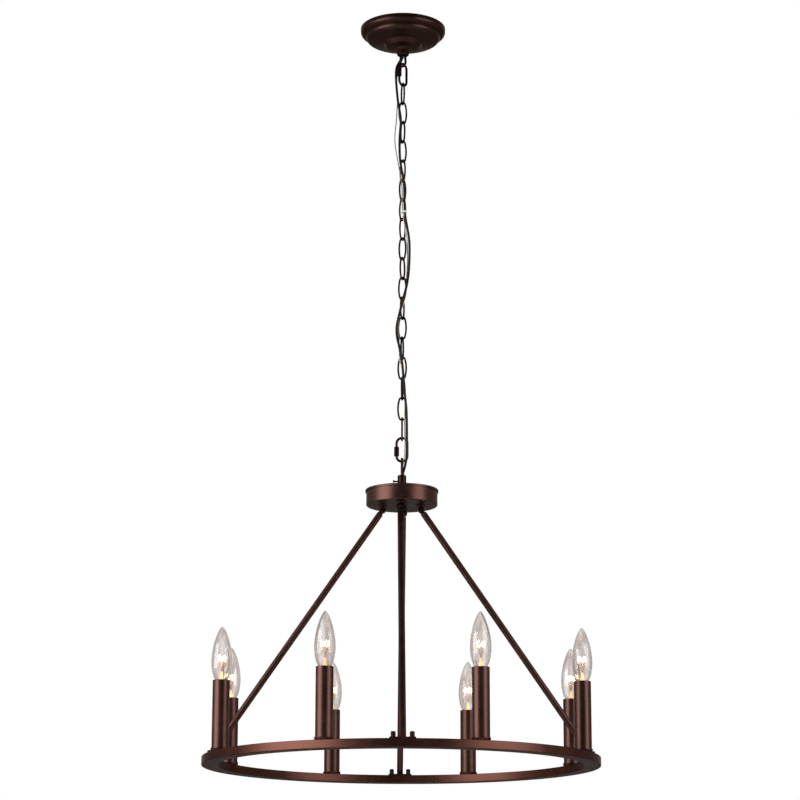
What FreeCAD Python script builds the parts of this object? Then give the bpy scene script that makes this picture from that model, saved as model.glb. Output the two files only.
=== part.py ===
"""Wagon wheel chandelier: a hollow steel ring with eight candle lights, carried by four slanted rods
from a round hub, which hangs from a ceiling canopy on a chain with a quick link at each end.

Millimetres, +Z up. The origin is the centre of the canopy's rim, on the ceiling.
"""

import FreeCAD, Part
import math
import os
from FreeCAD import Vector

# ---- fits ----
HANG_GAP = 0.3  # between two wires that hang in each other
SLIP = 0.15  # radial clearance of a piece slipped over or through another
TURN_GAP = 0.3  # radial clearance of a piece that turns or slides on another

# ---- ceiling canopy and its fittings ----
CANOPY_R = 69.5
CANOPY_SHEET = 1.0
TIER_1_H = 5.0  # straight side of the wide upper tier
TIER_1_EDGE = 7.0  # radius of its rounded edge
TIER_2_R = 61.0
TIER_2_TOP = 12.8
TIER_2_H = 0.8
TIER_2_EDGE = 8.0
BOSS_FOOT_R = 32.0
BOSS_FOOT_Z = 25.5
BOSS_R = 27.0
BOSS_Z = 32.0
CANOPY_H = 34.0
CROSSBAR_L = 112.0
CROSSBAR_W = 20.0
CROSSBAR_T = 2.0
BOX_SCREW_SPACING = 88.9  # between the two ceiling box screws
BOX_SLOT_L = 18.0
BOX_SLOT_R = 2.4
NIPPLE_R = 4.8  # threaded lamp tube
NIPPLE_BORE_R = 3.4
LOCKNUT_FLATS = 16.0
LOCKNUT_H = 4.0
GROUND_SCREW_R = 2.0
GROUND_SCREW_HEAD_R = 3.8
GROUND_SCREW_HEAD_H = 2.0
GROUND_SCREW_SLOT = 1.0
GROUND_SCREW_X = 22.0
NECK_R = 6.9  # of the two wire loops' necks
NECK_INSIDE_L = 12.0  # of the canopy loop's neck, above the canopy's face
NIPPLE_SEAT = 4.0  # from the neck's lower end to the nipple's
COLLAR_R = 10.0
COLLAR_H = 12.5
COLLAR_EDGE = 1.5
COLLAR_FLANGE_R = 13.0
COLLAR_FLANGE_H = 3.5

# ---- wire loops, quick links and chain ----
WIRE_SIDES = 8
LOOP_WIRE_R = 2.0
LOOP_BEND_R = 6.0  # centre line of a loop's round end
LOOP_FOOT_X = 4.7  # half the distance between a loop's legs at its neck
LOOP_ROOT = 1.5  # of each leg inside the neck
CABLE_BORE_R = 3.5
CANOPY_LOOP_L = 18.7  # from the neck's end to the wire's centre
QUICK_WIRE_R = 2.0
QUICK_L = 42.0
QUICK_W = 21.0
QUICK_NUT_FLATS = 7.0
QUICK_NUT_L = 15.0
QUICK_MOUTH_L = 4.2  # the opening that the nut closes
QUICK_MOUTH_LIP = 0.6  # of wire between the mouth and the bend
LINK_COUNT = 18
LINK_WIRE_R = 1.5
LINK_INNER_L = 33.45
LINK_W = 16.0
LINK_END_R = 4.6  # centre line of a link's round end
LINK_TWIST = -4.1  # degrees by which each link is out of square with the one below it
UPPER_QUICK_TURN = 46.0  # degrees from +X to the upper quick link's plane

# ---- power cord and ground wire, laced down through the chain ----
POWER_CORD_R = 2.0
GROUND_WIRE_R = 0.9
TIE_T = 0.6  # band of the clear tie round both
TIE_W = 2.6
TIE_STEP = 13  # it sits half way from this half link to the next
CORD_ARC_SHARE = 0.45  # of a run, rounded off at each of its ends
# x and y of each point, and how far it lies below the ceiling
POWER_CORD_ABOVE = [
    (-0.7, -0.6, 2.0), (-0.6, -0.7, 17.0), (-0.7, -0.7, 32.0), (-0.7, -0.6, 47.0), (-3.8, -2.0, 55.5),
    (-9.4, -1.2, 64.0), (-11.6, -0.6, 74.0), (-11.3, -0.9, 84.5), (-11.0, -1.2, 95.0),
]
GROUND_WIRE_ABOVE = [
    (1.6, 1.7, 2.0), (1.7, 1.6, 17.0), (1.6, 1.6, 32.0), (1.5, 1.7, 46.0), (-0.8, 1.2, 54.0),
    (-5.6, 0.3, 63.5), (-8.9, 2.6, 75.0), (-9.75, 2.6, 85.0), (-10.6, 2.6, 95.0),
]
# x and y of one point for each half link of the chain
POWER_CORD_ALONG = [
    (-9.5, -1.6), (-8.0, -4.2), (-5.4, -8.0), (-2.8, -7.6), (-4.2, -7.0), (-5.3, -7.2), (-5.2, -7.9),
    (-4.6, -7.0), (-2.2, -6.9), (1.0, -7.5), (2.7, -7.1), (2.9, -7.7), (3.2, -9.5), (4.3, -9.1),
    (7.4, -6.6), (10.4, -4.8), (11.6, -4.2), (11.2, -4.0), (10.8, -3.8), (9.3, -4.8), (6.9, -7.8),
    (2.6, -8.8), (-1.6, -10.6), (-5.6, -8.2), (-9.4, -4.9), (-8.8, -5.0), (-5.2, -9.8), (-1.9, -9.2),
    (0.6, -7.8), (1.7, -8.6), (3.4, -7.4), (4.6, -6.8), (6.5, -5.6), (7.3, -5.2), (7.6, -4.2), (7.7, -5.3),
]
GROUND_WIRE_ALONG = [
    (-9.6, 2.4), (-8.8, 0.6), (-9.6, -1.1), (-10.4, -1.2), (-12.4, -1.6), (-13.2, -2.2), (-11.4, -3.2),
    (-8.5, -3.9), (-5.6, -4.4), (-2.6, -5.8), (-0.9, -6.3), (-0.7, -7.0), (-0.5, -8.4), (0.9, -7.6),
    (4.1, -5.0), (6.7, -3.6), (8.2, -1.7), (8.05, -1.5), (7.9, -1.3), (6.7, -1.0), (5.2, 1.2),
    (5.0, 2.0), (-0.2, 0.6), (-5.6, -1.9), (-6.2, -2.6), (-5.4, -3.2), (-4.9, -3.6), (-5.0, -3.4),
    (-1.1, -4.4), (3.2, -4.9), (5.0, -3.8), (5.4, -3.2), (4.0, -3.2), (4.1, -3.4), (4.3, -2.3), (4.7, -3.7),
]
# x and y of each point, and how far it lies above the top of the hub's neck
POWER_CORD_BELOW = [
    (7.64, -5.3, 42.0), (7.6, -5.3, 28.7), (5.0, -2.7, 14.7),
    (1.2, -0.1, 2.7), (1.2, 0.1, -11.3), (1.3, 0.0, -24.3),
]
GROUND_WIRE_BELOW = [
    (4.34, -4.17, 42.0), (4.1, -4.5, 29.7), (1.7, -2.9, 16.7),
    (-2.0, -0.3, 2.7), (-2.2, 0.1, -10.3), (-2.3, 0.0, -23.3),
]
# each cord is cut across at these points, on each side of what hangs and swings there
CORD_PIECES = {"canopy_end": (0, 7), "upper_run": (7, 26), "lower_run": (26, 45), "hub_end": (45, 50)}

# ---- hub ----
HUB_LOOP_L = 26.7
HUB_NECK_L = 23.6
HUB_NECK_EDGE = 1.2
LOCK_SCREW_R = 1.25
LOCK_SCREW_HEAD_R = 2.0
LOCK_SCREW_OUT = 7.3  # from the neck's side to the end of its head
LOCK_SCREW_HEAD_L = 2.5
LOCK_SCREW_RISE = 14.0
HUB_R = 56.0
HUB_H = 25.2
HUB_SHEET = 1.2
HUB_EDGE = 1.2
LID_R = 57.5
LID_H = 3.6
LID_EDGE = 0.8
HUB_NIPPLE_IN = 9.0  # of the hub's nipple, below the lid's top
HUB_NIPPLE_UP = 10.0  # of it, inside the neck

# ---- swivels and rods ----
ROD_COUNT = 4
HUB_TURN = -4.0  # degrees by which the hub stands round from the ring; the swivels take this up
SWIVEL_PITCH_R = 30.0  # of the swivels round the hub's axis
SWIVEL_DROP = 6.6  # from the hub's floor to the swivel pins
SWIVEL_R = 4.8
SWIVEL_BASE_R = 7.0
SWIVEL_WEB_W = 7.0
SWIVEL_NUT_FLATS = 11.0
SWIVEL_NUT_H = 3.0
SWIVEL_SIDE_GAP = 0.1  # between the two halves of a swivel
PIN_R = 2.0
PIN_HEAD_R = 2.8
PIN_HEAD_T = 1.6
ROD_R = 5.0
ROD_BORE_R = 4.0
ROD_START = 7.0  # from the pin to the rod's end, clear of the fixed half
ROD_PLUG = 4.0  # solid end of the rod at the swivel
FOOT_SET_OUT = 0.7  # from the ring's middle line to where a rod's centre line meets its foot plate
FOOT_L = 38.0
FOOT_W = 22.0
FOOT_T = 2.1
WIRE_HOLE_R = 3.0
STUD_SPACING = 27.0
STUD_R = 2.0
STUD_H = 7.5
FOOT_NUT_R = 3.6
FOOT_NUT_H = 8.6
FOOT_NUT_CROWN = 1.6  # end wall of the nut, over its stud

# ---- wheel ----
RING_R = 305.0
RING_W = 25.4
RING_H = 12.7
RING_SHEET = 1.2
RING_DROP = 387.5  # from the swivel pins to the ring's top

# ---- candle lights ----
CANDLE_COUNT = 8
CUP_R = 14.5
CUP_H = 4.0
CUP_FLOOR = 3.0
SLEEVE_R = 12.85
SLEEVE_WALL = 1.0
SLEEVE_L = 102.0
SOCKET_R = 9.5
SOCKET_L = 36.0
SOCKET_SET_BACK = 4.0  # of the socket's mouth, below the sleeve's
SHELL_R = 6.3  # of the socket's screw shell
SHELL_DEPTH = 21.0
STEM_R = 4.8  # hollow stem that carries the socket
STEM_BORE_R = 3.2
STEM_ROOT = 3.0  # of the stem, below the ring's top
STEM_NUT_FLATS = 14.0
STEM_NUT_H = 3.0
BULB_R = 15.9
BULB_WAIST = 31.0  # from the bulb's foot to its widest
BULB_NECK_R = 7.0
BULB_NECK_L = 3.0
BULB_GLASS_L = 84.0
BULB_TIP_R = 1.6
BULB_WALL = 0.7
BULB_BASE_R = 6.0
BULB_BASE_L = 19.0
BULB_SET_OUT = 1.0  # from the socket's mouth to the bulb's glass

# ---- places that follow, down from the ceiling ----
COLLAR_BOTTOM = -CANOPY_H - COLLAR_H
CANOPY_LOOP_Z = COLLAR_BOTTOM - CANOPY_LOOP_L
UPPER_QUICK_TOP = CANOPY_LOOP_Z + LOOP_WIRE_R + HANG_GAP + QUICK_WIRE_R
QUICK_CENTRE_L = QUICK_L - 2 * QUICK_WIRE_R
QUICK_BEND_R = QUICK_W / 2 - QUICK_WIRE_R
QUICK_LEG = QUICK_CENTRE_L / 2 - QUICK_BEND_R  # half a leg's straight length
UPPER_QUICK_BOTTOM = UPPER_QUICK_TOP - QUICK_CENTRE_L
LINK_CENTRE_L = LINK_INNER_L + 2 * LINK_WIRE_R
LINK_PITCH = LINK_INNER_L - HANG_GAP
CHAIN_TOP = UPPER_QUICK_BOTTOM + QUICK_WIRE_R + HANG_GAP + LINK_WIRE_R
CHAIN_BOTTOM = CHAIN_TOP - (LINK_COUNT - 1) * LINK_PITCH - LINK_CENTRE_L
LOWER_QUICK_TOP = CHAIN_BOTTOM + LINK_WIRE_R + HANG_GAP + QUICK_WIRE_R
LOWER_QUICK_BOTTOM = LOWER_QUICK_TOP - QUICK_CENTRE_L
HUB_LOOP_Z = LOWER_QUICK_BOTTOM + QUICK_WIRE_R + HANG_GAP + LOOP_WIRE_R
HUB_NECK_TOP = HUB_LOOP_Z - HUB_LOOP_L
HUB_TOP = HUB_NECK_TOP - HUB_NECK_L
HUB_FLOOR = HUB_TOP - HUB_H
PIN_Z = HUB_FLOOR - SWIVEL_DROP
RING_TOP = PIN_Z - RING_DROP
RING_MID_R = RING_R - RING_W / 2
FOOT_PITCH_R = RING_MID_R + FOOT_SET_OUT
SWIVEL_X = SWIVEL_PITCH_R * math.cos(math.radians(HUB_TURN))
SWIVEL_Y = SWIVEL_PITCH_R * math.sin(math.radians(HUB_TURN))
ROD_REACH = math.hypot(FOOT_PITCH_R - SWIVEL_X, SWIVEL_Y)  # of a rod, in plan, from its swivel to its foot
ROD_AIM = math.degrees(math.atan2(-SWIVEL_Y, FOOT_PITCH_R - SWIVEL_X))
ROD_ANGLES = [360.0 / ROD_COUNT * n - 90.0 for n in range(ROD_COUNT)]
ROD_NAMES = ["front", "right", "rear", "left"]
CANDLE_ANGLES = [360.0 / CANDLE_COUNT * (n + 0.5) - 90.0 for n in range(CANDLE_COUNT)]
SLEEVE_FOOT = RING_TOP + CUP_FLOOR
SOCKET_TOP = SLEEVE_FOOT + SLEEVE_L - SOCKET_SET_BACK
BULB_FOOT = SOCKET_TOP + BULB_SET_OUT

UP = Vector(0, 0, 1)
MIDDLE = Vector(0, 0, 0)


# ---- plain forms ----
def cylinder(radius, bottom, top, x=0.0, y=0.0):
    return Part.makeCylinder(radius, top - bottom, Vector(x, y, bottom))


def pipe(outer, inner, bottom, top, x=0.0, y=0.0):
    return cylinder(outer, bottom, top, x, y).cut(cylinder(inner, bottom, top, x, y))


def block(length, width, bottom, top, x=0.0, y=0.0):
    corner = Vector(x - length / 2, y - width / 2, bottom)
    return Part.makeBox(length, width, top - bottom, corner)


def crosswise(radius, y_from, y_to, x, z):
    """A cylinder that lies along Y."""
    return Part.makeCylinder(radius, y_to - y_from, Vector(x, y_from, z), Vector(0, 1, 0))


def hexagon(across_flats, bottom, top, x=0.0, y=0.0):
    corner_r = across_flats / math.sqrt(3)
    angles = [math.radians(30 + 60 * n) for n in range(7)]
    corners = [Vector(x + corner_r * math.cos(a), y + corner_r * math.sin(a), bottom) for a in angles]
    return Part.Face(Part.makePolygon(corners)).extrude(Vector(0, 0, top - bottom))


def turned(shape, degrees):
    """A copy of the shape, turned about the Z axis."""
    copy = shape.copy()
    copy.rotate(MIDDLE, UP, degrees)
    return copy


def around(shape, degrees_list):
    """Copies of a shape made on the +X side, one at each angle."""
    return Part.makeCompound([turned(shape, degrees) for degrees in degrees_list])


def spun(*steps):
    """Revolve a closed outline about Z. A step is a point (r, z), or a pair for an arc's middle and end."""
    here = Vector(steps[0][0], 0, steps[0][1])
    edges = []
    for step in steps[1:] + steps[:1]:
        ends = [Vector(r, 0, z) for r, z in (step if isinstance(step[0], tuple) else (step,))]
        if len(ends) == 2:
            edges.append(Part.Arc(here, ends[0], ends[1]).toShape())
        else:
            edges.append(Part.LineSegment(here, ends[0]).toShape())
        here = ends[-1]
    return Part.Face(Part.Wire(edges)).revolve(MIDDLE, UP, 360)


# ---- bent wire ----
def section(radius, at, along, sideways, sides):
    """An even-sided section with a round wire's area and two of its flats square to sideways."""
    corner_r = radius * math.sqrt(2 * math.pi / (sides * math.sin(2 * math.pi / sides)))
    other = along.cross(sideways)
    corners = []
    for n in range(sides + 1):
        a = 2 * math.pi * (n + 0.5) / sides
        corners.append(at + sideways * (corner_r * math.cos(a)) + other * (corner_r * math.sin(a)))
    return Part.makePolygon(corners)


def bent_wire(edges, radius):
    """A wire along edges that lie in the XZ plane, from the first one's start."""
    first = edges[0]
    at = first.valueAt(first.FirstParameter)
    along = first.tangentAt(first.FirstParameter)
    outline = section(radius, at, along, Vector(0, 1, 0), WIRE_SIDES)
    return Part.Wire(edges).makePipeShell([outline], True, False)


def upright_arc(x, z, radius, start, end):
    """An arc in the XZ plane about (x, z), between two angles from +X towards +Z."""
    angles = [math.radians(a) for a in (start, (start + end) / 2, end)]
    points = [Vector(x + radius * math.cos(a), 0, z + radius * math.sin(a)) for a in angles]
    return Part.Arc(*points).toShape()


def upright_line(x1, z1, x2, z2):
    return Part.LineSegment(Vector(x1, 0, z1), Vector(x2, 0, z2)).toShape()


def open_loop(foot_z, end_z):
    """A pear-shaped wire loop: a leg from the neck at foot_z, round a bend at end_z, and a leg back."""
    way = 1 if end_z > foot_z else -1
    centre = end_z - way * LOOP_BEND_R
    root = foot_z - way * LOOP_ROOT
    reach = way * (centre - root)
    span = math.hypot(reach, LOOP_FOOT_X)
    lean = math.degrees(math.atan2(reach, LOOP_FOOT_X) - math.acos(LOOP_BEND_R / span))
    bend = upright_arc(0, centre, LOOP_BEND_R, -way * lean, way * (180 + lean))
    start = bend.valueAt(bend.FirstParameter)
    end = bend.valueAt(bend.LastParameter)
    leg_out = upright_line(LOOP_FOOT_X, root, start.x, start.z)
    leg_back = upright_line(end.x, end.z, -LOOP_FOOT_X, root)
    return bent_wire([leg_out, bend, leg_back], LOOP_WIRE_R)


# ---- at the ceiling ----
def canopy():
    """Spun sheet in two tiers and a shallow boss, with a hole for the loop's neck."""
    t = CANOPY_SHEET
    hole_r = NECK_R + TURN_GAP
    edge_1 = CANOPY_R - TIER_1_EDGE
    edge_2 = TIER_2_R - TIER_2_EDGE
    foot_1 = -TIER_1_H - TIER_1_EDGE
    side_2 = -TIER_2_TOP - TIER_2_H
    foot_2 = side_2 - TIER_2_EDGE
    round_1 = TIER_1_EDGE * math.sqrt(0.5)
    round_2 = TIER_2_EDGE * math.sqrt(0.5)
    inner_1 = (TIER_1_EDGE - t) * math.sqrt(0.5)
    inner_2 = (TIER_2_EDGE - t) * math.sqrt(0.5)
    return spun(
        (CANOPY_R, 0),
        (CANOPY_R, -TIER_1_H),
        ((edge_1 + round_1, -TIER_1_H - round_1), (edge_1, foot_1)),
        (TIER_2_R, -TIER_2_TOP),
        (TIER_2_R, side_2),
        ((edge_2 + round_2, side_2 - round_2), (edge_2, foot_2)),
        (BOSS_FOOT_R, -BOSS_FOOT_Z),
        (BOSS_R, -BOSS_Z),
        (BOSS_R / 2, -CANOPY_H),
        (hole_r, -CANOPY_H),
        (hole_r, -CANOPY_H + t),
        (BOSS_R / 2, -CANOPY_H + t),
        (BOSS_R - t, -BOSS_Z + t),
        (BOSS_FOOT_R - t, -BOSS_FOOT_Z + t),
        (edge_2, foot_2 + t),
        ((edge_2 + inner_2, side_2 - inner_2), (TIER_2_R - t, side_2)),
        (TIER_2_R - t, -TIER_2_TOP + t),
        (edge_1, foot_1 + t),
        ((edge_1 + inner_1, -TIER_1_H - inner_1), (CANOPY_R - t, -TIER_1_H)),
        (CANOPY_R - t, 0),
    )


def crossbar():
    """Steel strap with round ends, a threaded middle hole and a slot for each box screw."""
    half = (CROSSBAR_L - CROSSBAR_W) / 2
    strap = block(2 * half, CROSSBAR_W, -CROSSBAR_T, 0)
    for side in (-1, 1):
        strap = strap.fuse(cylinder(CROSSBAR_W / 2, -CROSSBAR_T, 0, side * half))
        middle = side * BOX_SCREW_SPACING / 2
        slot = block(BOX_SLOT_L - 2 * BOX_SLOT_R, 2 * BOX_SLOT_R, -CROSSBAR_T, 0, middle)
        for end in (-1, 1):
            x = middle + end * (BOX_SLOT_L / 2 - BOX_SLOT_R)
            slot = slot.fuse(cylinder(BOX_SLOT_R, -CROSSBAR_T, 0, x))
        strap = strap.cut(slot)
    strap = strap.cut(cylinder(NIPPLE_R, -CROSSBAR_T, 0))
    strap = strap.cut(cylinder(GROUND_SCREW_R, -CROSSBAR_T, 0, GROUND_SCREW_X))
    return strap.removeSplitter()


def ground_screw():
    """The earthing screw, up through the crossbar."""
    under = -CROSSBAR_T
    foot = under - GROUND_SCREW_HEAD_H
    head = cylinder(GROUND_SCREW_HEAD_R, foot, under, GROUND_SCREW_X)
    shank = cylinder(GROUND_SCREW_R, under, 0, GROUND_SCREW_X)
    slot = block(2 * GROUND_SCREW_HEAD_R, GROUND_SCREW_SLOT, foot, foot + GROUND_SCREW_SLOT, GROUND_SCREW_X)
    return head.fuse(shank).cut(slot)


def ceiling_nipple():
    """Threaded lamp tube from the crossbar down into the loop's neck."""
    return pipe(NIPPLE_R, NIPPLE_BORE_R, COLLAR_BOTTOM + NIPPLE_SEAT, 0)


def crossbar_locknut():
    top = -CROSSBAR_T
    nut = hexagon(LOCKNUT_FLATS, top - LOCKNUT_H, top)
    return nut.cut(cylinder(NIPPLE_R, top - LOCKNUT_H, top))


def canopy_collar():
    """Flanged ring nut on the loop's neck, which holds the canopy up against the ceiling."""
    inner = NECK_R + TURN_GAP
    return spun(
        (inner, -CANOPY_H),
        (COLLAR_FLANGE_R, -CANOPY_H),
        (COLLAR_R, -CANOPY_H - COLLAR_FLANGE_H),
        (COLLAR_R, COLLAR_BOTTOM + COLLAR_EDGE),
        (COLLAR_R - COLLAR_EDGE, COLLAR_BOTTOM),
        (inner, COLLAR_BOTTOM),
    )


def canopy_loop():
    """A neck that turns on the nipple, with a wire loop below; the cable comes out between its legs."""
    neck_top = -CANOPY_H + NECK_INSIDE_L
    neck = cylinder(NECK_R, COLLAR_BOTTOM, neck_top).fuse(open_loop(COLLAR_BOTTOM, CANOPY_LOOP_Z))
    neck = neck.cut(cylinder(CABLE_BORE_R, COLLAR_BOTTOM - LOOP_ROOT, neck_top))
    seat = COLLAR_BOTTOM + NIPPLE_SEAT - TURN_GAP
    neck = neck.cut(cylinder(NIPPLE_R + TURN_GAP, seat, neck_top))
    return turned(neck, UPPER_QUICK_TURN + 90)


# ---- chain and quick links ----
def quick_link():
    """A wire link in the XZ plane about its middle, with a mouth low in the leg on the -X side."""
    r = QUICK_BEND_R
    mouth_low = -QUICK_LEG + QUICK_MOUTH_LIP
    edges = [
        upright_line(-r, mouth_low + QUICK_MOUTH_L, -r, QUICK_LEG),
        upright_arc(0, QUICK_LEG, r, 180, 0),
        upright_line(r, QUICK_LEG, r, -QUICK_LEG),
        upright_arc(0, -QUICK_LEG, r, 0, -180),
        upright_line(-r, -QUICK_LEG, -r, mouth_low),
    ]
    return bent_wire(edges, QUICK_WIRE_R)


def quick_nut():
    """The sleeve nut of a quick link, over its mouth."""
    bottom = -QUICK_LEG
    nut = hexagon(QUICK_NUT_FLATS, bottom, bottom + QUICK_NUT_L, -QUICK_BEND_R)
    return nut.cut(cylinder(QUICK_WIRE_R + TURN_GAP, bottom, bottom + QUICK_NUT_L, -QUICK_BEND_R))


def upper_quick(shape):
    """A quick link's piece at the chain's upper end, upside down."""
    copy = shape.copy()
    copy.rotate(MIDDLE, Vector(1, 0, 0), 180)
    copy.translate(Vector(0, 0, UPPER_QUICK_TOP - QUICK_CENTRE_L / 2))
    return turned(copy, UPPER_QUICK_TURN)


def lower_quick(shape):
    copy = shape.copy()
    copy.translate(Vector(0, 0, LOWER_QUICK_TOP - QUICK_CENTRE_L / 2))
    return copy


def chain_link():
    """One oval link of four arcs in the XZ plane, about its middle."""
    half_w = LINK_W / 2 - LINK_WIRE_R
    end_z = LINK_CENTRE_L / 2 - LINK_END_R
    side_r = (end_z**2 + half_w**2 - LINK_END_R**2) / (2 * (half_w - LINK_END_R))
    side_x = side_r - half_w
    turn = math.degrees(math.atan2(end_z, side_x))
    edges = [
        upright_arc(-side_x, 0, side_r, -turn, turn),
        upright_arc(0, end_z, LINK_END_R, turn, 180 - turn),
        upright_arc(side_x, 0, side_r, 180 - turn, 180 + turn),
        upright_arc(0, -end_z, LINK_END_R, 180 + turn, 360 - turn),
    ]
    return bent_wire(edges, LINK_WIRE_R)


def link_turn(n):
    """The angle from +X to the plane of link n, counted from 0 at the top."""
    return 90 + (LINK_COUNT - 1 - n) * (90 + LINK_TWIST)


def chain_links():
    link = chain_link()
    links = []
    for n in range(LINK_COUNT):
        copy = turned(link, link_turn(n))
        copy.translate(Vector(0, 0, CHAIN_TOP - n * LINK_PITCH - LINK_CENTRE_L / 2))
        links.append(copy)
    return Part.makeCompound(links)


# ---- power cord and ground wire ----
def cord_route(above, along, below):
    points = [Vector(x, y, -down) for x, y, down in above]
    for n, (x, y) in enumerate(along):
        points.append(Vector(x, y, CHAIN_TOP - (n + 1) * LINK_PITCH / 2))
    points += [Vector(x, y, HUB_NECK_TOP + up) for x, y, up in below]
    return points


def rounded_path(points):
    """Straight runs joined by tangent arcs, each as large as its two runs allow, and the arcs' radii."""
    edges = []
    radii = []
    here = points[0]
    for before, at, after in zip(points, points[1:], points[2:]):
        back = before - at
        onward = after - at
        reach = CORD_ARC_SHARE * min(back.Length, onward.Length)
        half_turn = (math.pi - back.getAngle(onward)) / 2
        radius = reach / math.tan(half_turn)
        start = at + back.normalize() * reach
        end = at + onward.normalize() * reach
        middle = at + (back + onward).normalize() * (radius / math.cos(half_turn) - radius)
        edges.append(Part.LineSegment(here, start).toShape())
        edges.append(Part.Arc(start, middle, end).toShape())
        radii.append(radius)
        here = end
    edges.append(Part.LineSegment(here, points[-1]).toShape())
    return edges, radii


def cord(name, points, radius):
    """A tube along the points, with its tightest bend and its volume against section times length."""
    edges, radii = rounded_path(points)
    path = Part.Wire(edges)
    along = (points[1] - points[0]).normalize()
    sideways = along.cross(Vector(0, 1, 0)).normalize()
    tube = path.makePipeShell([section(radius, points[0], along, sideways, WIRE_SIDES)], True, False)
    share = tube.Volume / (math.pi * radius**2 * path.Length)
    print(name, "length", round(path.Length, 1), "volume share", round(share, 4))
    print("bends", [round(bend) for bend in radii])
    return tube


def cords():
    """The pieces of both cords, by name."""
    routes = {
        "power_cord_": (cord_route(POWER_CORD_ABOVE, POWER_CORD_ALONG, POWER_CORD_BELOW), POWER_CORD_R),
        "ground_wire_": (cord_route(GROUND_WIRE_ABOVE, GROUND_WIRE_ALONG, GROUND_WIRE_BELOW), GROUND_WIRE_R),
    }
    pieces = {}
    for kind, (points, radius) in routes.items():
        for part, (first, last) in CORD_PIECES.items():
            pieces[kind + part] = cord(kind + part, points[first : last + 1], radius)
    return pieces


def cord_tie():
    """A clear band round the power cord and the ground wire, in the middle of one of their runs."""
    power = Vector(0, 0, 0)
    ground = Vector(0, 0, 0)
    for x, y in POWER_CORD_ALONG[TIE_STEP - 1 : TIE_STEP + 1]:
        power += Vector(x / 2, y / 2, 0)
    for x, y in GROUND_WIRE_ALONG[TIE_STEP - 1 : TIE_STEP + 1]:
        ground += Vector(x / 2, y / 2, 0)
    inside = POWER_CORD_R + 2 * SLIP
    band = oval(power, ground, inside + TIE_T, TIE_W).cut(oval(power, ground, inside, TIE_W))
    band.translate(Vector(0, 0, CHAIN_TOP - (TIE_STEP + 0.5) * LINK_PITCH / 2))
    return band


def oval(one, other, radius, height):
    """A block with round ends about two upright lines, level with the origin."""
    apart = other - one
    shape = block(apart.Length, 2 * radius, -height / 2, height / 2, apart.Length / 2)
    shape = shape.fuse(cylinder(radius, -height / 2, height / 2))
    shape = shape.fuse(cylinder(radius, -height / 2, height / 2, apart.Length))
    shape.rotate(MIDDLE, UP, math.degrees(math.atan2(apart.y, apart.x)))
    shape.translate(one)
    return shape


# ---- hub ----
def hub_loop():
    """A neck screwed on the hub's nipple, with a wire loop above and a hole for its lock screw."""
    loop = turned(open_loop(HUB_NECK_TOP, HUB_LOOP_Z), 90)
    shoulder = HUB_NECK_TOP - HUB_NECK_EDGE
    top_r = NECK_R - HUB_NECK_EDGE
    neck = spun((0, HUB_TOP), (NECK_R, HUB_TOP), (NECK_R, shoulder), (top_r, HUB_NECK_TOP), (0, HUB_NECK_TOP))
    neck = neck.fuse(loop)
    neck = neck.cut(cylinder(CABLE_BORE_R, HUB_TOP, HUB_NECK_TOP + LOOP_ROOT))
    neck = neck.cut(cylinder(NIPPLE_R, HUB_TOP, HUB_TOP + HUB_NIPPLE_UP))
    return neck.cut(lock_screw_body(NECK_R))


def lock_screw_body(reach):
    """The lock screw's shank on the -X side, from the cable's bore out to reach."""
    start = Vector(-reach, 0, HUB_TOP + LOCK_SCREW_RISE)
    return Part.makeCylinder(LOCK_SCREW_R, reach - CABLE_BORE_R, start, Vector(1, 0, 0))


def hub_lock_screw():
    end = NECK_R + LOCK_SCREW_OUT
    shank = lock_screw_body(end - LOCK_SCREW_HEAD_L)
    start = Vector(-end, 0, HUB_TOP + LOCK_SCREW_RISE)
    return shank.fuse(Part.makeCylinder(LOCK_SCREW_HEAD_R, LOCK_SCREW_HEAD_L, start, Vector(1, 0, 0)))


def hub_lid():
    """Spun lid with a rolled lip over the cup's rim."""
    return spun(
        (NIPPLE_R, HUB_TOP),
        (LID_R - LID_EDGE, HUB_TOP),
        (LID_R, HUB_TOP - LID_EDGE),
        (LID_R, HUB_TOP - LID_H),
        (HUB_R, HUB_TOP - LID_H),
        (HUB_R, HUB_TOP - HUB_SHEET),
        (NIPPLE_R, HUB_TOP - HUB_SHEET),
    )


def hub_cup():
    """Spun cup with a flat floor and a hole for each swivel's stem."""
    cup = spun(
        (0, HUB_FLOOR),
        (HUB_R - HUB_EDGE, HUB_FLOOR),
        (HUB_R, HUB_FLOOR + HUB_EDGE),
        (HUB_R, HUB_TOP - HUB_SHEET),
        (HUB_R - HUB_SHEET, HUB_TOP - HUB_SHEET),
        (HUB_R - HUB_SHEET, HUB_FLOOR + HUB_SHEET),
        (0, HUB_FLOOR + HUB_SHEET),
    )
    stem = cylinder(PIN_R, HUB_FLOOR, HUB_FLOOR + HUB_SHEET, SWIVEL_X, SWIVEL_Y)
    return cup.cut(around(stem, ROD_ANGLES))


def hub_nipple():
    return pipe(NIPPLE_R, NIPPLE_BORE_R, HUB_TOP - HUB_NIPPLE_IN, HUB_TOP + HUB_NIPPLE_UP)


def hub_nipple_nut():
    top = HUB_TOP - HUB_SHEET
    nut = hexagon(LOCKNUT_FLATS, top - LOCKNUT_H, top)
    return nut.cut(cylinder(NIPPLE_R, top - LOCKNUT_H, top))


# ---- swivels and rods, made on the +X side ----
def to_swivel(shape):
    """Turn a piece made at the origin to face its foot plate, and move it to its place under the hub."""
    placed = turned(shape, ROD_AIM)
    placed.translate(Vector(SWIVEL_X, SWIVEL_Y, 0))
    return placed


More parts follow.
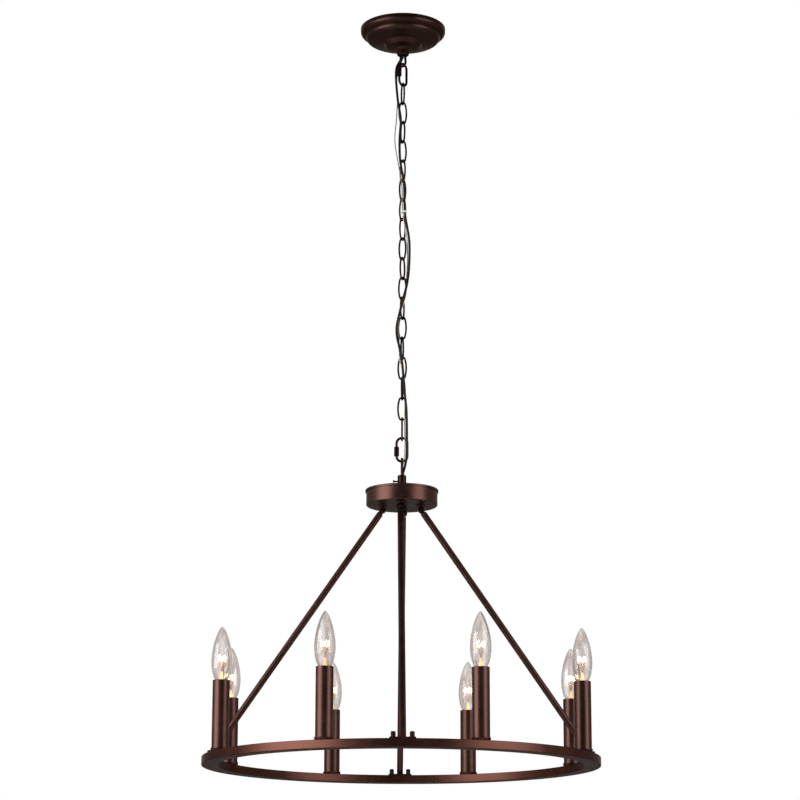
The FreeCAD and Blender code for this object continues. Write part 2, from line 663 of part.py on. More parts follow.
def swivel_knuckle():
    """The fixed half of a swivel: a half-thick eye under a round base, with a threaded stem into the hub."""
    eye_top = PIN_Z + SWIVEL_R + TURN_GAP
    eye = crosswise(SWIVEL_R, -ROD_R, -SWIVEL_SIDE_GAP, 0, PIN_Z)
    depth = ROD_R - SWIVEL_SIDE_GAP
    middle = -(ROD_R + SWIVEL_SIDE_GAP) / 2
    web = block(SWIVEL_WEB_W, depth, PIN_Z + PIN_R + TURN_GAP, eye_top, 0, middle)
    base = cylinder(SWIVEL_BASE_R, eye_top, HUB_FLOOR)
    stem = cylinder(PIN_R, HUB_FLOOR, HUB_FLOOR + HUB_SHEET + SWIVEL_NUT_H)
    hole = crosswise(PIN_R, -ROD_R, 0, 0, PIN_Z)
    return to_swivel(eye.fuse(web).fuse(base).fuse(stem).cut(hole))


def swivel_nut():
    """The nut on a swivel's stem, inside the hub."""
    bottom = HUB_FLOOR + HUB_SHEET
    nut = hexagon(SWIVEL_NUT_FLATS, bottom, bottom + SWIVEL_NUT_H)
    return to_swivel(nut.cut(cylinder(PIN_R, bottom, bottom + SWIVEL_NUT_H)))


def swivel_pin():
    """The riveted pin through both halves of a swivel."""
    pin = crosswise(PIN_R, -ROD_R, ROD_R, 0, PIN_Z)
    for y in (-ROD_R - PIN_HEAD_T, ROD_R):
        pin = pin.fuse(crosswise(PIN_HEAD_R, y, y + PIN_HEAD_T, 0, PIN_Z))
    return to_swivel(pin)


def rod():
    """A slanted tube with the moving half of its swivel on top and a foot plate welded on below."""
    plate_top = RING_TOP + FOOT_T
    pin = Vector(0, 0, PIN_Z)
    foot = Vector(ROD_REACH, 0, plate_top)
    along = (foot - pin).normalize()
    past = (foot - pin).Length + ROD_R
    tube = Part.makeCylinder(ROD_R, past - ROD_START, pin + along * ROD_START, along)
    bore_start = ROD_START + ROD_PLUG
    bore = Part.makeCylinder(ROD_BORE_R, past - bore_start, pin + along * bore_start, along)
    eye = crosswise(SWIVEL_R, 0, ROD_R, 0, PIN_Z)
    web = Part.makeBox(SWIVEL_WEB_W, ROD_R, ROD_START + ROD_PLUG / 2, Vector(-SWIVEL_WEB_W / 2, 0, 0))
    web.rotate(MIDDLE, Vector(0, 1, 0), math.degrees(math.atan2(along.x, along.z)))
    web.translate(pin)
    hole = crosswise(PIN_R, 0, ROD_R, 0, PIN_Z)
    top = eye.fuse(web).cut(hole)
    below = block(2 * FOOT_W, FOOT_L, plate_top - 2 * FOOT_W, plate_top, FOOT_PITCH_R)
    return to_swivel(tube.cut(bore).fuse(top)).cut(below).fuse(foot_plate())


def foot_plate():
    """A rod's welded plate, with a hole for the wires and one for each stud."""
    plate_top = RING_TOP + FOOT_T
    plate = block(FOOT_W, FOOT_L, RING_TOP, plate_top, RING_MID_R)
    plate = plate.cut(cylinder(WIRE_HOLE_R, RING_TOP, plate_top, FOOT_PITCH_R))
    for side in (-1, 1):
        hole = cylinder(STUD_R + SLIP, RING_TOP, plate_top, RING_MID_R, side * STUD_SPACING / 2)
        plate = plate.cut(hole)
    return plate


def foot_nut(side):
    """A tall round cap nut over one stud."""
    bottom = RING_TOP + FOOT_T
    y = side * STUD_SPACING / 2
    nut = cylinder(FOOT_NUT_R, bottom, bottom + FOOT_NUT_H, RING_MID_R, y)
    return nut.cut(cylinder(STUD_R + SLIP, bottom, bottom + FOOT_NUT_H - FOOT_NUT_CROWN, RING_MID_R, y))


def foot_nuts():
    pair = Part.makeCompound([foot_nut(-1), foot_nut(1)])
    return around(pair, ROD_ANGLES)


# ---- wheel ----
def ring():
    """A rolled rectangular tube with holes for stems and wires, and a welded pair of studs at each rod."""
    bottom = RING_TOP - RING_H
    inner_r = RING_R - RING_W
    t = RING_SHEET
    outside = spun((inner_r, bottom), (RING_R, bottom), (RING_R, RING_TOP), (inner_r, RING_TOP))
    hollow = spun(
        (inner_r + t, bottom + t),
        (RING_R - t, bottom + t),
        (RING_R - t, RING_TOP - t),
        (inner_r + t, RING_TOP - t),
    )
    wheel = outside.cut(hollow)
    wheel = wheel.cut(around(cylinder(STEM_R, RING_TOP - t, RING_TOP, RING_MID_R), CANDLE_ANGLES))
    wheel = wheel.cut(around(cylinder(WIRE_HOLE_R, RING_TOP - t, RING_TOP, FOOT_PITCH_R), ROD_ANGLES))
    for side in (-1, 1):
        stud = cylinder(STUD_R, RING_TOP - t, RING_TOP + STUD_H, RING_MID_R, side * STUD_SPACING / 2)
        wheel = wheel.fuse(around(stud, ROD_ANGLES))
    return wheel


# ---- candle lights, made on the +X side ----
def candle_cup():
    """The pan under a candle, with a low rim round the sleeve's foot."""
    cup = pipe(CUP_R, STEM_R, RING_TOP, RING_TOP + CUP_H, RING_MID_R)
    return cup.cut(cylinder(SLEEVE_R + SLIP, SLEEVE_FOOT, RING_TOP + CUP_H, RING_MID_R))


def candle_stem():
    return pipe(STEM_R, STEM_BORE_R, RING_TOP - STEM_ROOT, SOCKET_TOP - SOCKET_L, RING_MID_R)


def stem_nut():
    nut = hexagon(STEM_NUT_FLATS, SLEEVE_FOOT, SLEEVE_FOOT + STEM_NUT_H, RING_MID_R)
    return nut.cut(cylinder(STEM_R, SLEEVE_FOOT, SLEEVE_FOOT + STEM_NUT_H, RING_MID_R))


def candle_socket():
    body = cylinder(SOCKET_R, SOCKET_TOP - SOCKET_L, SOCKET_TOP, RING_MID_R)
    return body.cut(cylinder(SHELL_R, SOCKET_TOP - SHELL_DEPTH, SOCKET_TOP, RING_MID_R))


def candle_sleeve():
    return pipe(SLEEVE_R, SLEEVE_R - SLEEVE_WALL, SLEEVE_FOOT, SLEEVE_FOOT + SLEEVE_L, RING_MID_R)


def bulb_base():
    """The bulb's metal screw cap."""
    return cylinder(BULB_BASE_R, BULB_FOOT - BULB_BASE_L, BULB_FOOT, RING_MID_R)


def bulb_glass():
    """A clear torpedo envelope, blown thin, with its tip drawn out."""
    w = BULB_WALL
    foot = BULB_FOOT
    neck_z = foot + BULB_NECK_L
    wide_z = foot + BULB_WAIST
    tip_z = foot + BULB_GLASS_L
    rise = BULB_GLASS_L - BULB_WAIST
    belly = (BULB_NECK_R + 0.74 * (BULB_R - BULB_NECK_R), neck_z + 0.42 * (wide_z - neck_z))
    shoulder = (BULB_R * 0.8, wide_z + 0.5 * rise)
    top = (BULB_TIP_R * 2, tip_z - BULB_TIP_R * 3)
    glass = spun(
        (BULB_NECK_R - w, foot),
        (BULB_NECK_R, foot),
        (BULB_NECK_R, neck_z),
        (belly, (BULB_R, wide_z)),
        (shoulder, top),
        (0, tip_z),
        (0, tip_z - 3 * w),
        (top[0] - w, top[1] - w),
        (shoulder[0] - w, shoulder[1]),
        (BULB_R - w, wide_z),
        (belly[0] - w, belly[1]),
        (BULB_NECK_R - w, neck_z),
    )
    glass.translate(Vector(RING_MID_R, 0, 0))
    return glass


NODES = {
    "canopy": canopy,
    "crossbar": crossbar,
    "ground_screw": ground_screw,
    "ceiling_nipple": ceiling_nipple,
    "crossbar_locknut": crossbar_locknut,
    "canopy_collar": canopy_collar,
    "canopy_loop": canopy_loop,
    "upper_quick_link": lambda: upper_quick(quick_link()),
    "upper_link_nut": lambda: upper_quick(quick_nut()),
    "chain_links": chain_links,
    "cord_tie": cord_tie,
    "lower_quick_link": lambda: lower_quick(quick_link()),
    "lower_link_nut": lambda: lower_quick(quick_nut()),
    "hub_loop": hub_loop,
    "hub_lock_screw": hub_lock_screw,
    "hub_lid": hub_lid,
    "hub_cup": hub_cup,
    "hub_nipple": hub_nipple,
    "hub_nipple_nut": hub_nipple_nut,
    "swivel_knuckles": lambda: around(swivel_knuckle(), ROD_ANGLES),
    "swivel_nuts": lambda: around(swivel_nut(), ROD_ANGLES),
    "swivel_pins": lambda: around(swivel_pin(), ROD_ANGLES),
    "foot_nuts": foot_nuts,
    "ring": ring,
    "candle_cups": lambda: around(candle_cup(), CANDLE_ANGLES),
    "candle_stems": lambda: around(candle_stem(), CANDLE_ANGLES),
    "stem_nuts": lambda: around(stem_nut(), CANDLE_ANGLES),
    "candle_sockets": lambda: around(candle_socket(), CANDLE_ANGLES),
    "candle_sleeves": lambda: around(candle_sleeve(), CANDLE_ANGLES),
    "bulb_bases": lambda: around(bulb_base(), CANDLE_ANGLES),
    "bulb_glasses": lambda: around(bulb_glass(), CANDLE_ANGLES),
}


def build():
    os.makedirs("parts", exist_ok=True)
    shapes = {name: make() for name, make in NODES.items()}
    one_rod = rod()
    for name, degrees in zip(ROD_NAMES, ROD_ANGLES):
        shapes["rod_" + name] = turned(one_rod, degrees)
    shapes.update(cords())
    for name, shape in shapes.items():
        state = "valid" if shape.isValid() else "NOT VALID"
        print(name, len(shape.Solids), "solids", round(shape.Volume), "mm3", state)
        shape.exportStep("parts/" + name + ".step")


build()
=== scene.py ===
# %% [markdown]
# # A wagon wheel chandelier
# Eight candle lights stand on a hollow steel ring. Four slanted rods carry the ring from a round hub,
# and the hub hangs from a ceiling canopy on a chain. The CAD model already has every piece at its real
# size, in metres here, with the ceiling at z = 0. This lesson gives it a studio, finishes, and the fine
# pieces that the CAD model keeps plain: round wire, soft edges, bent cords and the lamps' insides.

# %% Load the CAD model
import bmesh
import bpy
import math
from mathutils import Matrix, Vector


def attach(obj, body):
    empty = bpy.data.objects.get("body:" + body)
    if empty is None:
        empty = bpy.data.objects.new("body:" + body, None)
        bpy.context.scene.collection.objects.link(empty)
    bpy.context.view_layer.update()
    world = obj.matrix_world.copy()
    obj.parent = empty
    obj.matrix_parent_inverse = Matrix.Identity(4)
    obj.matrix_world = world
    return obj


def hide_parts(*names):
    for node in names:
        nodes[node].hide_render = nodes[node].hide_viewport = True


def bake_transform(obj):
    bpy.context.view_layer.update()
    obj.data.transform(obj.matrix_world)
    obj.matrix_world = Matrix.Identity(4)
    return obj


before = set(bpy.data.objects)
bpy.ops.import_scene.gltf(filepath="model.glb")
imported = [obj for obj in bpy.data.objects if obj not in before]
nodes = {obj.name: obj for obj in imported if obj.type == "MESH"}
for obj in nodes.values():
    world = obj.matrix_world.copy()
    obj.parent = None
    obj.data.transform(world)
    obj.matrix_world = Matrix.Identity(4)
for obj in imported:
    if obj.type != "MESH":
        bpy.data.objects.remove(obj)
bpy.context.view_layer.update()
MM = 0.001

# %% [markdown]
# ## The camera
# The photographer stood below the ring and looked up a little, with a long lens. The camera's distance,
# height and tilt come from fitting the known sizes of the ring, hub and canopy to the photograph. The lens
# is in millimetres on a 36 mm sensor, and the small shift moves the picture two pixels sideways. The fitting
# hangs turned a little from square to the camera, so the camera stands that much round it.

# %% Camera
PHOTO_WIDTH = 800
FOCAL_PIXELS = 2429.1
MIDDLE_PIXEL_X = 402.1
CAMERA_DISTANCE = 3.7408
CAMERA_HEIGHT = -1.5522
CAMERA_ROUND = -0.4
CAMERA_TILT_UP = 13.859
CAMERA_ROLL = 0.14
SENSOR = 36.0

camera_data = bpy.data.cameras.new("photo_camera")
camera_data.sensor_width = SENSOR
camera_data.lens = FOCAL_PIXELS / PHOTO_WIDTH * SENSOR
camera_data.shift_x = (PHOTO_WIDTH / 2 - MIDDLE_PIXEL_X) / PHOTO_WIDTH
camera = bpy.data.objects.new("photo_camera", camera_data)
round_turn = Matrix.Rotation(math.radians(CAMERA_ROUND), 3, "Z")
tilt_turn = Matrix.Rotation(math.radians(90 + CAMERA_TILT_UP), 3, "X")
roll_turn = Matrix.Rotation(math.radians(CAMERA_ROLL), 3, "Z")
camera.location = round_turn @ Vector((0, -CAMERA_DISTANCE, CAMERA_HEIGHT))
camera.rotation_euler = (round_turn @ tilt_turn @ roll_turn).to_euler()
bpy.context.collection.objects.link(camera)
bpy.context.scene.camera = camera
bpy.context.scene.view_settings.view_transform = "Standard"
print("lens", round(camera_data.lens, 1), "mm")

# %% [markdown]
# ## Small helpers
# Every piece below is a bmesh, shaped by operators and then turned into an object that sits at the origin,
# with its place in its mesh. `finish_mesh` merges doubles, turns the faces outwards and shades them smooth,
# except across edges sharper than an angle. A Weighted Normal modifier lets the large faces decide the
# shading, so a flat face beside a small rounded edge still looks flat.

# %% Helpers for meshes
FULL_TURN = math.tau
UP = Vector((0, 0, 1))
MERGE_GAP = 1e-6
SHARP_EDGE = math.radians(40.0)


def finish_mesh(name, shape, body, sharp=35.0):
    """Make an object of a bmesh, riding on a CAD body."""
    bmesh.ops.remove_doubles(shape, verts=shape.verts, dist=MERGE_GAP)
    bmesh.ops.recalc_face_normals(shape, faces=shape.faces)
    mesh = bpy.data.meshes.new(name)
    shape.to_mesh(mesh)
    shape.free()
    mesh.shade_smooth()
    mesh.set_sharp_from_angle(angle=math.radians(sharp))
    piece = bpy.data.objects.new(name, mesh)
    bpy.context.collection.objects.link(piece)
    even = piece.modifiers.new("even_normals", "WEIGHTED_NORMAL")
    even.keep_sharp = True
    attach(piece, body)
    print(name, len(mesh.vertices), "vertices")
    return piece


def spin_outline(shape, outline, steps, closed=True):
    """Turn an outline of (radius, height) points once round the Z axis."""
    dots = [shape.verts.new((r, 0, z)) for r, z in outline]
    pairs = list(zip(dots, dots[1:]))
    if closed:
        pairs.append((dots[-1], dots[0]))
    edges = [shape.edges.new(pair) for pair in pairs]
    bmesh.ops.spin(
        shape, geom=dots + edges, cent=(0, 0, 0), axis=UP, angle=FULL_TURN, steps=steps, use_merge=True
    )
    return shape


def soften(shape, width, segments=2):
    """Round every sharp edge."""
    edges = [e for e in shape.edges if len(e.link_faces) == 2 and e.calc_face_angle() > SHARP_EDGE]
    bmesh.ops.bevel(
        shape, geom=edges, offset=width, segments=segments, profile=0.5, affect="EDGES", material=-1,
        clamp_overlap=True,
    )
    return shape


def copies_round(shape, angles):
    """Keep one copy of the shape, made on the +X side, at each angle about the Z axis."""
    start = list(shape.verts) + list(shape.edges) + list(shape.faces)
    for degrees in angles:
        made = bmesh.ops.duplicate(shape, geom=start)["geom"]
        turn = Matrix.Rotation(math.radians(degrees), 3, "Z")
        verts = [v for v in made if isinstance(v, bmesh.types.BMVert)]
        bmesh.ops.rotate(shape, verts=verts, cent=(0, 0, 0), matrix=turn)
    bmesh.ops.delete(shape, geom=[v for v in start if isinstance(v, bmesh.types.BMVert)], context="VERTS")
    return shape


print("edges over", round(math.degrees(SHARP_EDGE)), "degrees are rounded")

# %% [markdown]
# ## The two cords
# A brown power cord and a thin earth wire in a clear jacket are laced down through the chain. They weave
# past the links as the photograph shows, so their points are listed, one for each half link.
# A NURBS spline drawn by such points bends softly, as a cord does. Each cord is in four pieces, one for each
# of the four places where the fitting swings. The points are in millimetres until the
# route is made.

# %% The cords' routes
CHAIN_TOP = -95.1
LINK_STEP = 33.15
HALF_LINK = LINK_STEP / 2
HUB_NECK_TOP = -751.7
POWER_CORD_ABOVE = [
    (-0.7, -0.6, 2.0), (-0.6, -0.7, 17.0), (-0.7, -0.7, 32.0), (-0.7, -0.6, 47.0), (-3.8, -2.0, 55.5),
    (-9.4, -1.2, 64.0), (-11.6, -0.6, 74.0), (-11.3, -0.9, 84.5), (-11.0, -1.2, 95.0),
]
GROUND_WIRE_ABOVE = [
    (1.6, 1.7, 2.0), (1.7, 1.6, 17.0), (1.6, 1.6, 32.0), (1.5, 1.7, 46.0), (-0.8, 1.2, 54.0),
    (-5.6, 0.3, 63.5), (-8.9, 2.6, 75.0), (-9.75, 2.6, 85.0), (-10.6, 2.6, 95.0),
]
POWER_CORD_ALONG = [
    (-9.5, -1.6), (-8.0, -4.2), (-5.4, -8.0), (-2.8, -7.6), (-4.2, -7.0), (-5.3, -7.2), (-5.2, -7.9),
    (-4.6, -7.0), (-2.2, -6.9), (1.0, -7.5), (2.7, -7.1), (2.9, -7.7), (3.2, -9.5), (4.3, -9.1),
    (7.4, -6.6), (10.4, -4.8), (11.6, -4.2), (11.2, -4.0), (10.8, -3.8), (9.3, -4.8), (6.9, -7.8),
    (2.6, -8.8), (-1.6, -10.6), (-5.6, -8.2), (-9.4, -4.9), (-8.8, -5.0), (-5.2, -9.8), (-1.9, -9.2),
    (0.6, -7.8), (1.7, -8.6), (3.4, -7.4), (4.6, -6.8), (6.5, -5.6), (7.3, -5.2), (7.6, -4.2), (7.7, -5.3),
]
GROUND_WIRE_ALONG = [
    (-9.6, 2.4), (-8.8, 0.6), (-9.6, -1.1), (-10.4, -1.2), (-12.4, -1.6), (-13.2, -2.2), (-11.4, -3.2),
    (-8.5, -3.9), (-5.6, -4.4), (-2.6, -5.8), (-0.9, -6.3), (-0.7, -7.0), (-0.5, -8.4), (0.9, -7.6),
    (4.1, -5.0), (6.7, -3.6), (8.2, -1.7), (8.05, -1.5), (7.9, -1.3), (6.7, -1.0), (5.2, 1.2),
    (5.0, 2.0), (-0.2, 0.6), (-5.6, -1.9), (-6.2, -2.6), (-5.4, -3.2), (-4.9, -3.6), (-5.0, -3.4),
    (-1.1, -4.4), (3.2, -4.9), (5.0, -3.8), (5.4, -3.2), (4.0, -3.2), (4.1, -3.4), (4.3, -2.3), (4.7, -3.7),
]
POWER_CORD_BELOW = [
    (7.64, -5.3, 42.0), (7.6, -5.3, 28.7), (5.0, -2.7, 14.7),
    (1.2, -0.1, 2.7), (1.2, 0.1, -11.3), (1.3, 0.0, -24.3),
]
GROUND_WIRE_BELOW = [
    (4.34, -4.17, 42.0), (4.1, -4.5, 29.7), (1.7, -2.9, 16.7),
    (-2.0, -0.3, 2.7), (-2.2, 0.1, -10.3), (-2.3, 0.0, -23.3),
]


def cord_route(above, along, below):
    """A cord's points in metres, measured from the ceiling, then by half links, then from the hub's neck."""
    points = [(x, y, -down) for x, y, down in above]
    points += [(x, y, CHAIN_TOP - (n + 1) * HALF_LINK) for n, (x, y) in enumerate(along)]
    points += [(x, y, HUB_NECK_TOP + up) for x, y, up in below]
    return [Vector(point) * MM for point in points]


power_route = cord_route(POWER_CORD_ABOVE, POWER_CORD_ALONG, POWER_CORD_BELOW)
ground_route = cord_route(GROUND_WIRE_ABOVE, GROUND_WIRE_ALONG, GROUND_WIRE_BELOW)
print(len(power_route), "and", len(ground_route), "points")

# %% [markdown]
# A curve becomes a mesh tube here. The tube's own centre line is read from the same spline with no
# thickness.

# %% Cord pieces
POWER_CORD_RADIUS = 2.0 * MM
GROUND_WIRE_RADIUS = 0.9 * MM
# The first and last point, the bodies above and below, and the heights where the bend starts and ends.
CORD_PIECES = {
    "canopy_end": (0, 7, "canopy_loop", "upper_quick_link", -0.050, -0.080),
    "upper_run": (7, 26, "upper_quick_link", "chain", -0.086, -0.125),
    "lower_run": (26, 45, "chain", "lower_quick_link", -0.672, -0.708),
    "hub_end": (45, 50, "lower_quick_link", "fixture", -0.712, -0.748),
}


def nurbs_curve(name, points, radius=0.0):
    """A smooth curve drawn by its points, with a round section where it has a radius."""
    curve = bpy.data.curves.new(name, "CURVE")
    curve.dimensions = "3D"
    curve.resolution_u = 8
    curve.bevel_depth = radius
    curve.bevel_resolution = 4
    curve.use_fill_caps = True
    spline = curve.splines.new("NURBS")
    spline.points.add(len(points) - 1)
    for dot, place in zip(spline.points, points):
        dot.co = (*place, 1)
    spline.order_u = 3
    spline.use_endpoint_u = True
    return bpy.data.objects.new(name, curve)


def mesh_of(curve_object):
    """The mesh that a curve makes. The curve itself isn't kept."""
    bpy.context.collection.objects.link(curve_object)
    bpy.context.view_layer.update()
    mesh = bpy.data.meshes.new_from_object(curve_object)
    bpy.data.objects.remove(curve_object)
    return mesh


def cord_tube(kind, part, points, radius):
    """One piece of a cord, from the body above to the body below."""
    first, last, upper, lower, start, end = CORD_PIECES[part]
    name = f"{kind}_{part}_bent"
    line = mesh_of(nurbs_curve(name + "_line", points[first : last + 1]))
    tube = bpy.data.objects.new(name, mesh_of(nurbs_curve(name + "_tube", points[first : last + 1], radius)))
    bpy.context.collection.objects.link(tube)
    tube.data.shade_smooth()
    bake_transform(tube)
    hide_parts(f"{kind}_{part}")
    return tube


power_cord = [
    cord_tube("power_cord", part, power_route, POWER_CORD_RADIUS) for part in CORD_PIECES
]
ground_wire = [
    cord_tube("ground_wire", part, ground_route, GROUND_WIRE_RADIUS) for part in CORD_PIECES
]

# %% [markdown]
# ## Round wire
# The loops, quick links and chain links are bent from round wire. A circle of vertices is spun through each
# bend and moved along each straight, which leaves a clean tube with no twist. All these bends lie in the
# XZ plane, so each one is a spin about an axis along Y.

# %% Wire helper
WIRE_SIDES = 14


def start_wire(radius, at, along):
    """A circle of vertices square to a direction, and its edges, which are the wire's end."""
    shape = bmesh.new()
    ring = bmesh.ops.create_circle(shape, segments=WIRE_SIDES, radius=radius, cap_ends=False)["verts"]
    turn = UP.rotation_difference(Vector(along)).to_matrix()
    bmesh.ops.rotate(shape, verts=ring, cent=(0, 0, 0), matrix=turn)
    bmesh.ops.translate(shape, verts=ring, vec=Vector(at))
    return shape, list(shape.edges)


def end_of(result):
    """The edges among what an operator made, which are the wire's new end."""
    return [g for g in result if isinstance(g, bmesh.types.BMEdge)]


def wire_bend(shape, edges, centre, degrees, steps):
    """Spin the wire's end about a centre in the XZ plane, from +X towards +Z."""
    verts = list({v for e in edges for v in e.verts})
    made = bmesh.ops.spin(
        shape, geom=verts + edges, cent=Vector((centre[0], 0, centre[1])), axis=Vector((0, -1, 0)),
        angle=math.radians(degrees), steps=steps,
    )
    return end_of(made["geom_last"])


def wire_straight(shape, edges, reach):
    """Extend the wire's end by a vector in the XZ plane."""
    made = bmesh.ops.extrude_edge_only(shape, edges=edges)["geom"]
    verts = [g for g in made if isinstance(g, bmesh.types.BMVert)]
    bmesh.ops.translate(shape, verts=verts, vec=Vector((reach[0], 0, reach[1])))
    return end_of(made)


def cap(shape, edges):
    """Close the wire's end with a face."""
    bmesh.ops.contextual_create(shape, geom=edges)


def settle(shape, turn_degrees, height, upside_down=False):
    """Turn a wire form from the XZ plane and lift it to its height."""
    if upside_down:
        bmesh.ops.rotate(shape, verts=shape.verts, cent=(0, 0, 0), matrix=Matrix.Rotation(math.pi, 3, "X"))
    turn = Matrix.Rotation(math.radians(turn_degrees), 3, "Z")
    bmesh.ops.rotate(shape, verts=shape.verts, cent=(0, 0, 0), matrix=turn)
    bmesh.ops.translate(shape, verts=shape.verts, vec=Vector((0, 0, height)))
    return shape


print("wire has", WIRE_SIDES, "sides")

# %% [markdown]
# ## The chain
# One link is four arcs: two long sides and two round ends. Each link hangs in the one above, almost square to
# it, and the small error adds up, so that the chain twists as it goes down.

# %% Chain
LINK_COUNT = 18
LINK_WIRE = 1.5 * MM
LINK_HALF_WIDTH = 6.5 * MM
LINK_LENGTH = 36.45 * MM
LINK_END = 4.6 * MM
LINK_PITCH = LINK_STEP * MM
LINK_TWIST = -4.1
SIDE_STEPS = 12
END_STEPS = 10


def chain_link():
    """One link about its middle, in the XZ plane, begun half way up its right side."""
    end_z = LINK_LENGTH / 2 - LINK_END
    side_r = (end_z**2 + LINK_HALF_WIDTH**2 - LINK_END**2) / (2 * (LINK_HALF_WIDTH - LINK_END))
    side_x = side_r - LINK_HALF_WIDTH
    half_turn = math.degrees(math.atan2(end_z, side_x))
    shape, end = start_wire(LINK_WIRE, (LINK_HALF_WIDTH, 0, 0), (0, 0, 1))
    end = wire_bend(shape, end, (-side_x, 0), half_turn, SIDE_STEPS // 2)
    end = wire_bend(shape, end, (0, end_z), 180 - 2 * half_turn, END_STEPS)
    end = wire_bend(shape, end, (side_x, 0), 2 * half_turn, SIDE_STEPS)
    end = wire_bend(shape, end, (0, -end_z), 180 - 2 * half_turn, END_STEPS)
    wire_bend(shape, end, (-side_x, 0), half_turn, SIDE_STEPS // 2)
    bmesh.ops.remove_doubles(shape, verts=shape.verts, dist=MERGE_GAP)
    mesh = bpy.data.meshes.new("one_link")
    shape.to_mesh(mesh)
    shape.free()
    return mesh


one_link = chain_link()
chain_shape = bmesh.new()
for n in range(LINK_COUNT):
    chain_shape.from_mesh(one_link)
    chain_shape.verts.ensure_lookup_table()
    link = chain_shape.verts[-len(one_link.vertices):]
    angle = math.radians(90 + (LINK_COUNT - 1 - n) * (90 + LINK_TWIST))
    bmesh.ops.rotate(chain_shape, verts=link, cent=(0, 0, 0), matrix=Matrix.Rotation(angle, 3, "Z"))
    drop = CHAIN_TOP * MM - n * LINK_PITCH - LINK_LENGTH / 2
    bmesh.ops.translate(chain_shape, verts=link, vec=Vector((0, 0, drop)))
chain = finish_mesh("chain_round_wire", chain_shape, "chain")
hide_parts("chain_links")

# %% [markdown]
# ## The quick links
# A quick link is a wire bent like a paper clip with a gap in one long side. A hexagonal sleeve nut screws
# over the gap. The upper one hangs upside down and is turned 46 degrees; the lower one faces the camera.

# %% Quick links
QUICK_WIRE = 2.0 * MM
QUICK_BEND = 8.5 * MM
QUICK_LEG = 10.5 * MM
QUICK_STEPS = 16
MOUTH_LOW = -9.9 * MM
MOUTH_LENGTH = 4.2 * MM
NUT_FLATS = 7.0 * MM
NUT_LENGTH = 15.0 * MM
NUT_EDGE = 0.45 * MM
UPPER_QUICK_TURN = 46
UPPER_QUICK_MIDDLE = -79.9 * MM
LOWER_QUICK_MIDDLE = -710.3 * MM


def quick_link():
    """From the upper lip of the mouth, over the top and round the bottom to the mouth's lower lip."""
    shape, start = start_wire(QUICK_WIRE, (-QUICK_BEND, 0, MOUTH_LOW + MOUTH_LENGTH), (0, 0, 1))
    cap(shape, start)
    end = wire_straight(shape, start, (0, QUICK_LEG - MOUTH_LOW - MOUTH_LENGTH))
    end = wire_bend(shape, end, (0, QUICK_LEG), -180, QUICK_STEPS)
    end = wire_straight(shape, end, (0, -2 * QUICK_LEG))
    end = wire_bend(shape, end, (0, -QUICK_LEG), -180, QUICK_STEPS)
    end = wire_straight(shape, end, (0, MOUTH_LOW + QUICK_LEG))
    cap(shape, end)
    return shape


def sleeve_nut():
    """A hexagonal sleeve over the mouth, made a solid because the wire fills it."""
    shape = bmesh.new()
    corner = NUT_FLATS / math.sqrt(3)
    middle = Matrix.Translation((-QUICK_BEND, 0, -QUICK_LEG + NUT_LENGTH / 2))
    bmesh.ops.create_cone(
        shape, cap_ends=True, segments=6, radius1=corner, radius2=corner, depth=NUT_LENGTH,
        matrix=middle @ Matrix.Rotation(math.radians(30), 4, "Z"),
    )
    return soften(shape, NUT_EDGE)


upper_link_shape = settle(quick_link(), UPPER_QUICK_TURN, UPPER_QUICK_MIDDLE, upside_down=True)
upper_nut_shape = settle(sleeve_nut(), UPPER_QUICK_TURN, UPPER_QUICK_MIDDLE, upside_down=True)
lower_link_shape = settle(quick_link(), 0, LOWER_QUICK_MIDDLE)
lower_nut_shape = settle(sleeve_nut(), 0, LOWER_QUICK_MIDDLE)
upper_link = finish_mesh("upper_link_wire", upper_link_shape, "upper_quick_link")
upper_nut = finish_mesh("upper_link_sleeve", upper_nut_shape, "upper_link_nut")
lower_link = finish_mesh("lower_link_wire", lower_link_shape, "lower_quick_link")
lower_nut = finish_mesh("lower_link_sleeve", lower_nut_shape, "lower_link_nut")
for piece, node in (
    (upper_link, "upper_quick_link"), (upper_nut, "upper_link_nut"),
    (lower_link, "lower_quick_link"), (lower_nut, "lower_link_nut"),
):
    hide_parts(node)

# %% [markdown]
# ## The necks and their loops
# At each end of the hanging wires a round neck carries a pear-shaped loop: a leg out of the neck, a bend of
# more than half a turn, and a leg back. The legs lean in so that they meet the bend without a kink. The neck
# is an outline spun round, hollow for the lamp tube, with a narrower bore where the cords come out. These
# sizes stay in millimetres until the shape is made.

# %% Neck loops
NECK_RADIUS = 6.9
CABLE_BORE = 3.5
LAMP_TUBE = 4.8
LOOP_WIRE = 2.0
LOOP_BEND = 6.0
LOOP_FOOT = 4.7
LOOP_ROOT = 1.5
LOOP_STEPS = 18
CANOPY_LOOP = -65.2
HUB_LOOP = -725.0
CANOPY_LOOP_TURN = 136
HUB_LOOP_TURN = 90
CANOPY_NECK_TOP = -22.0
CANOPY_NECK_END = -46.5


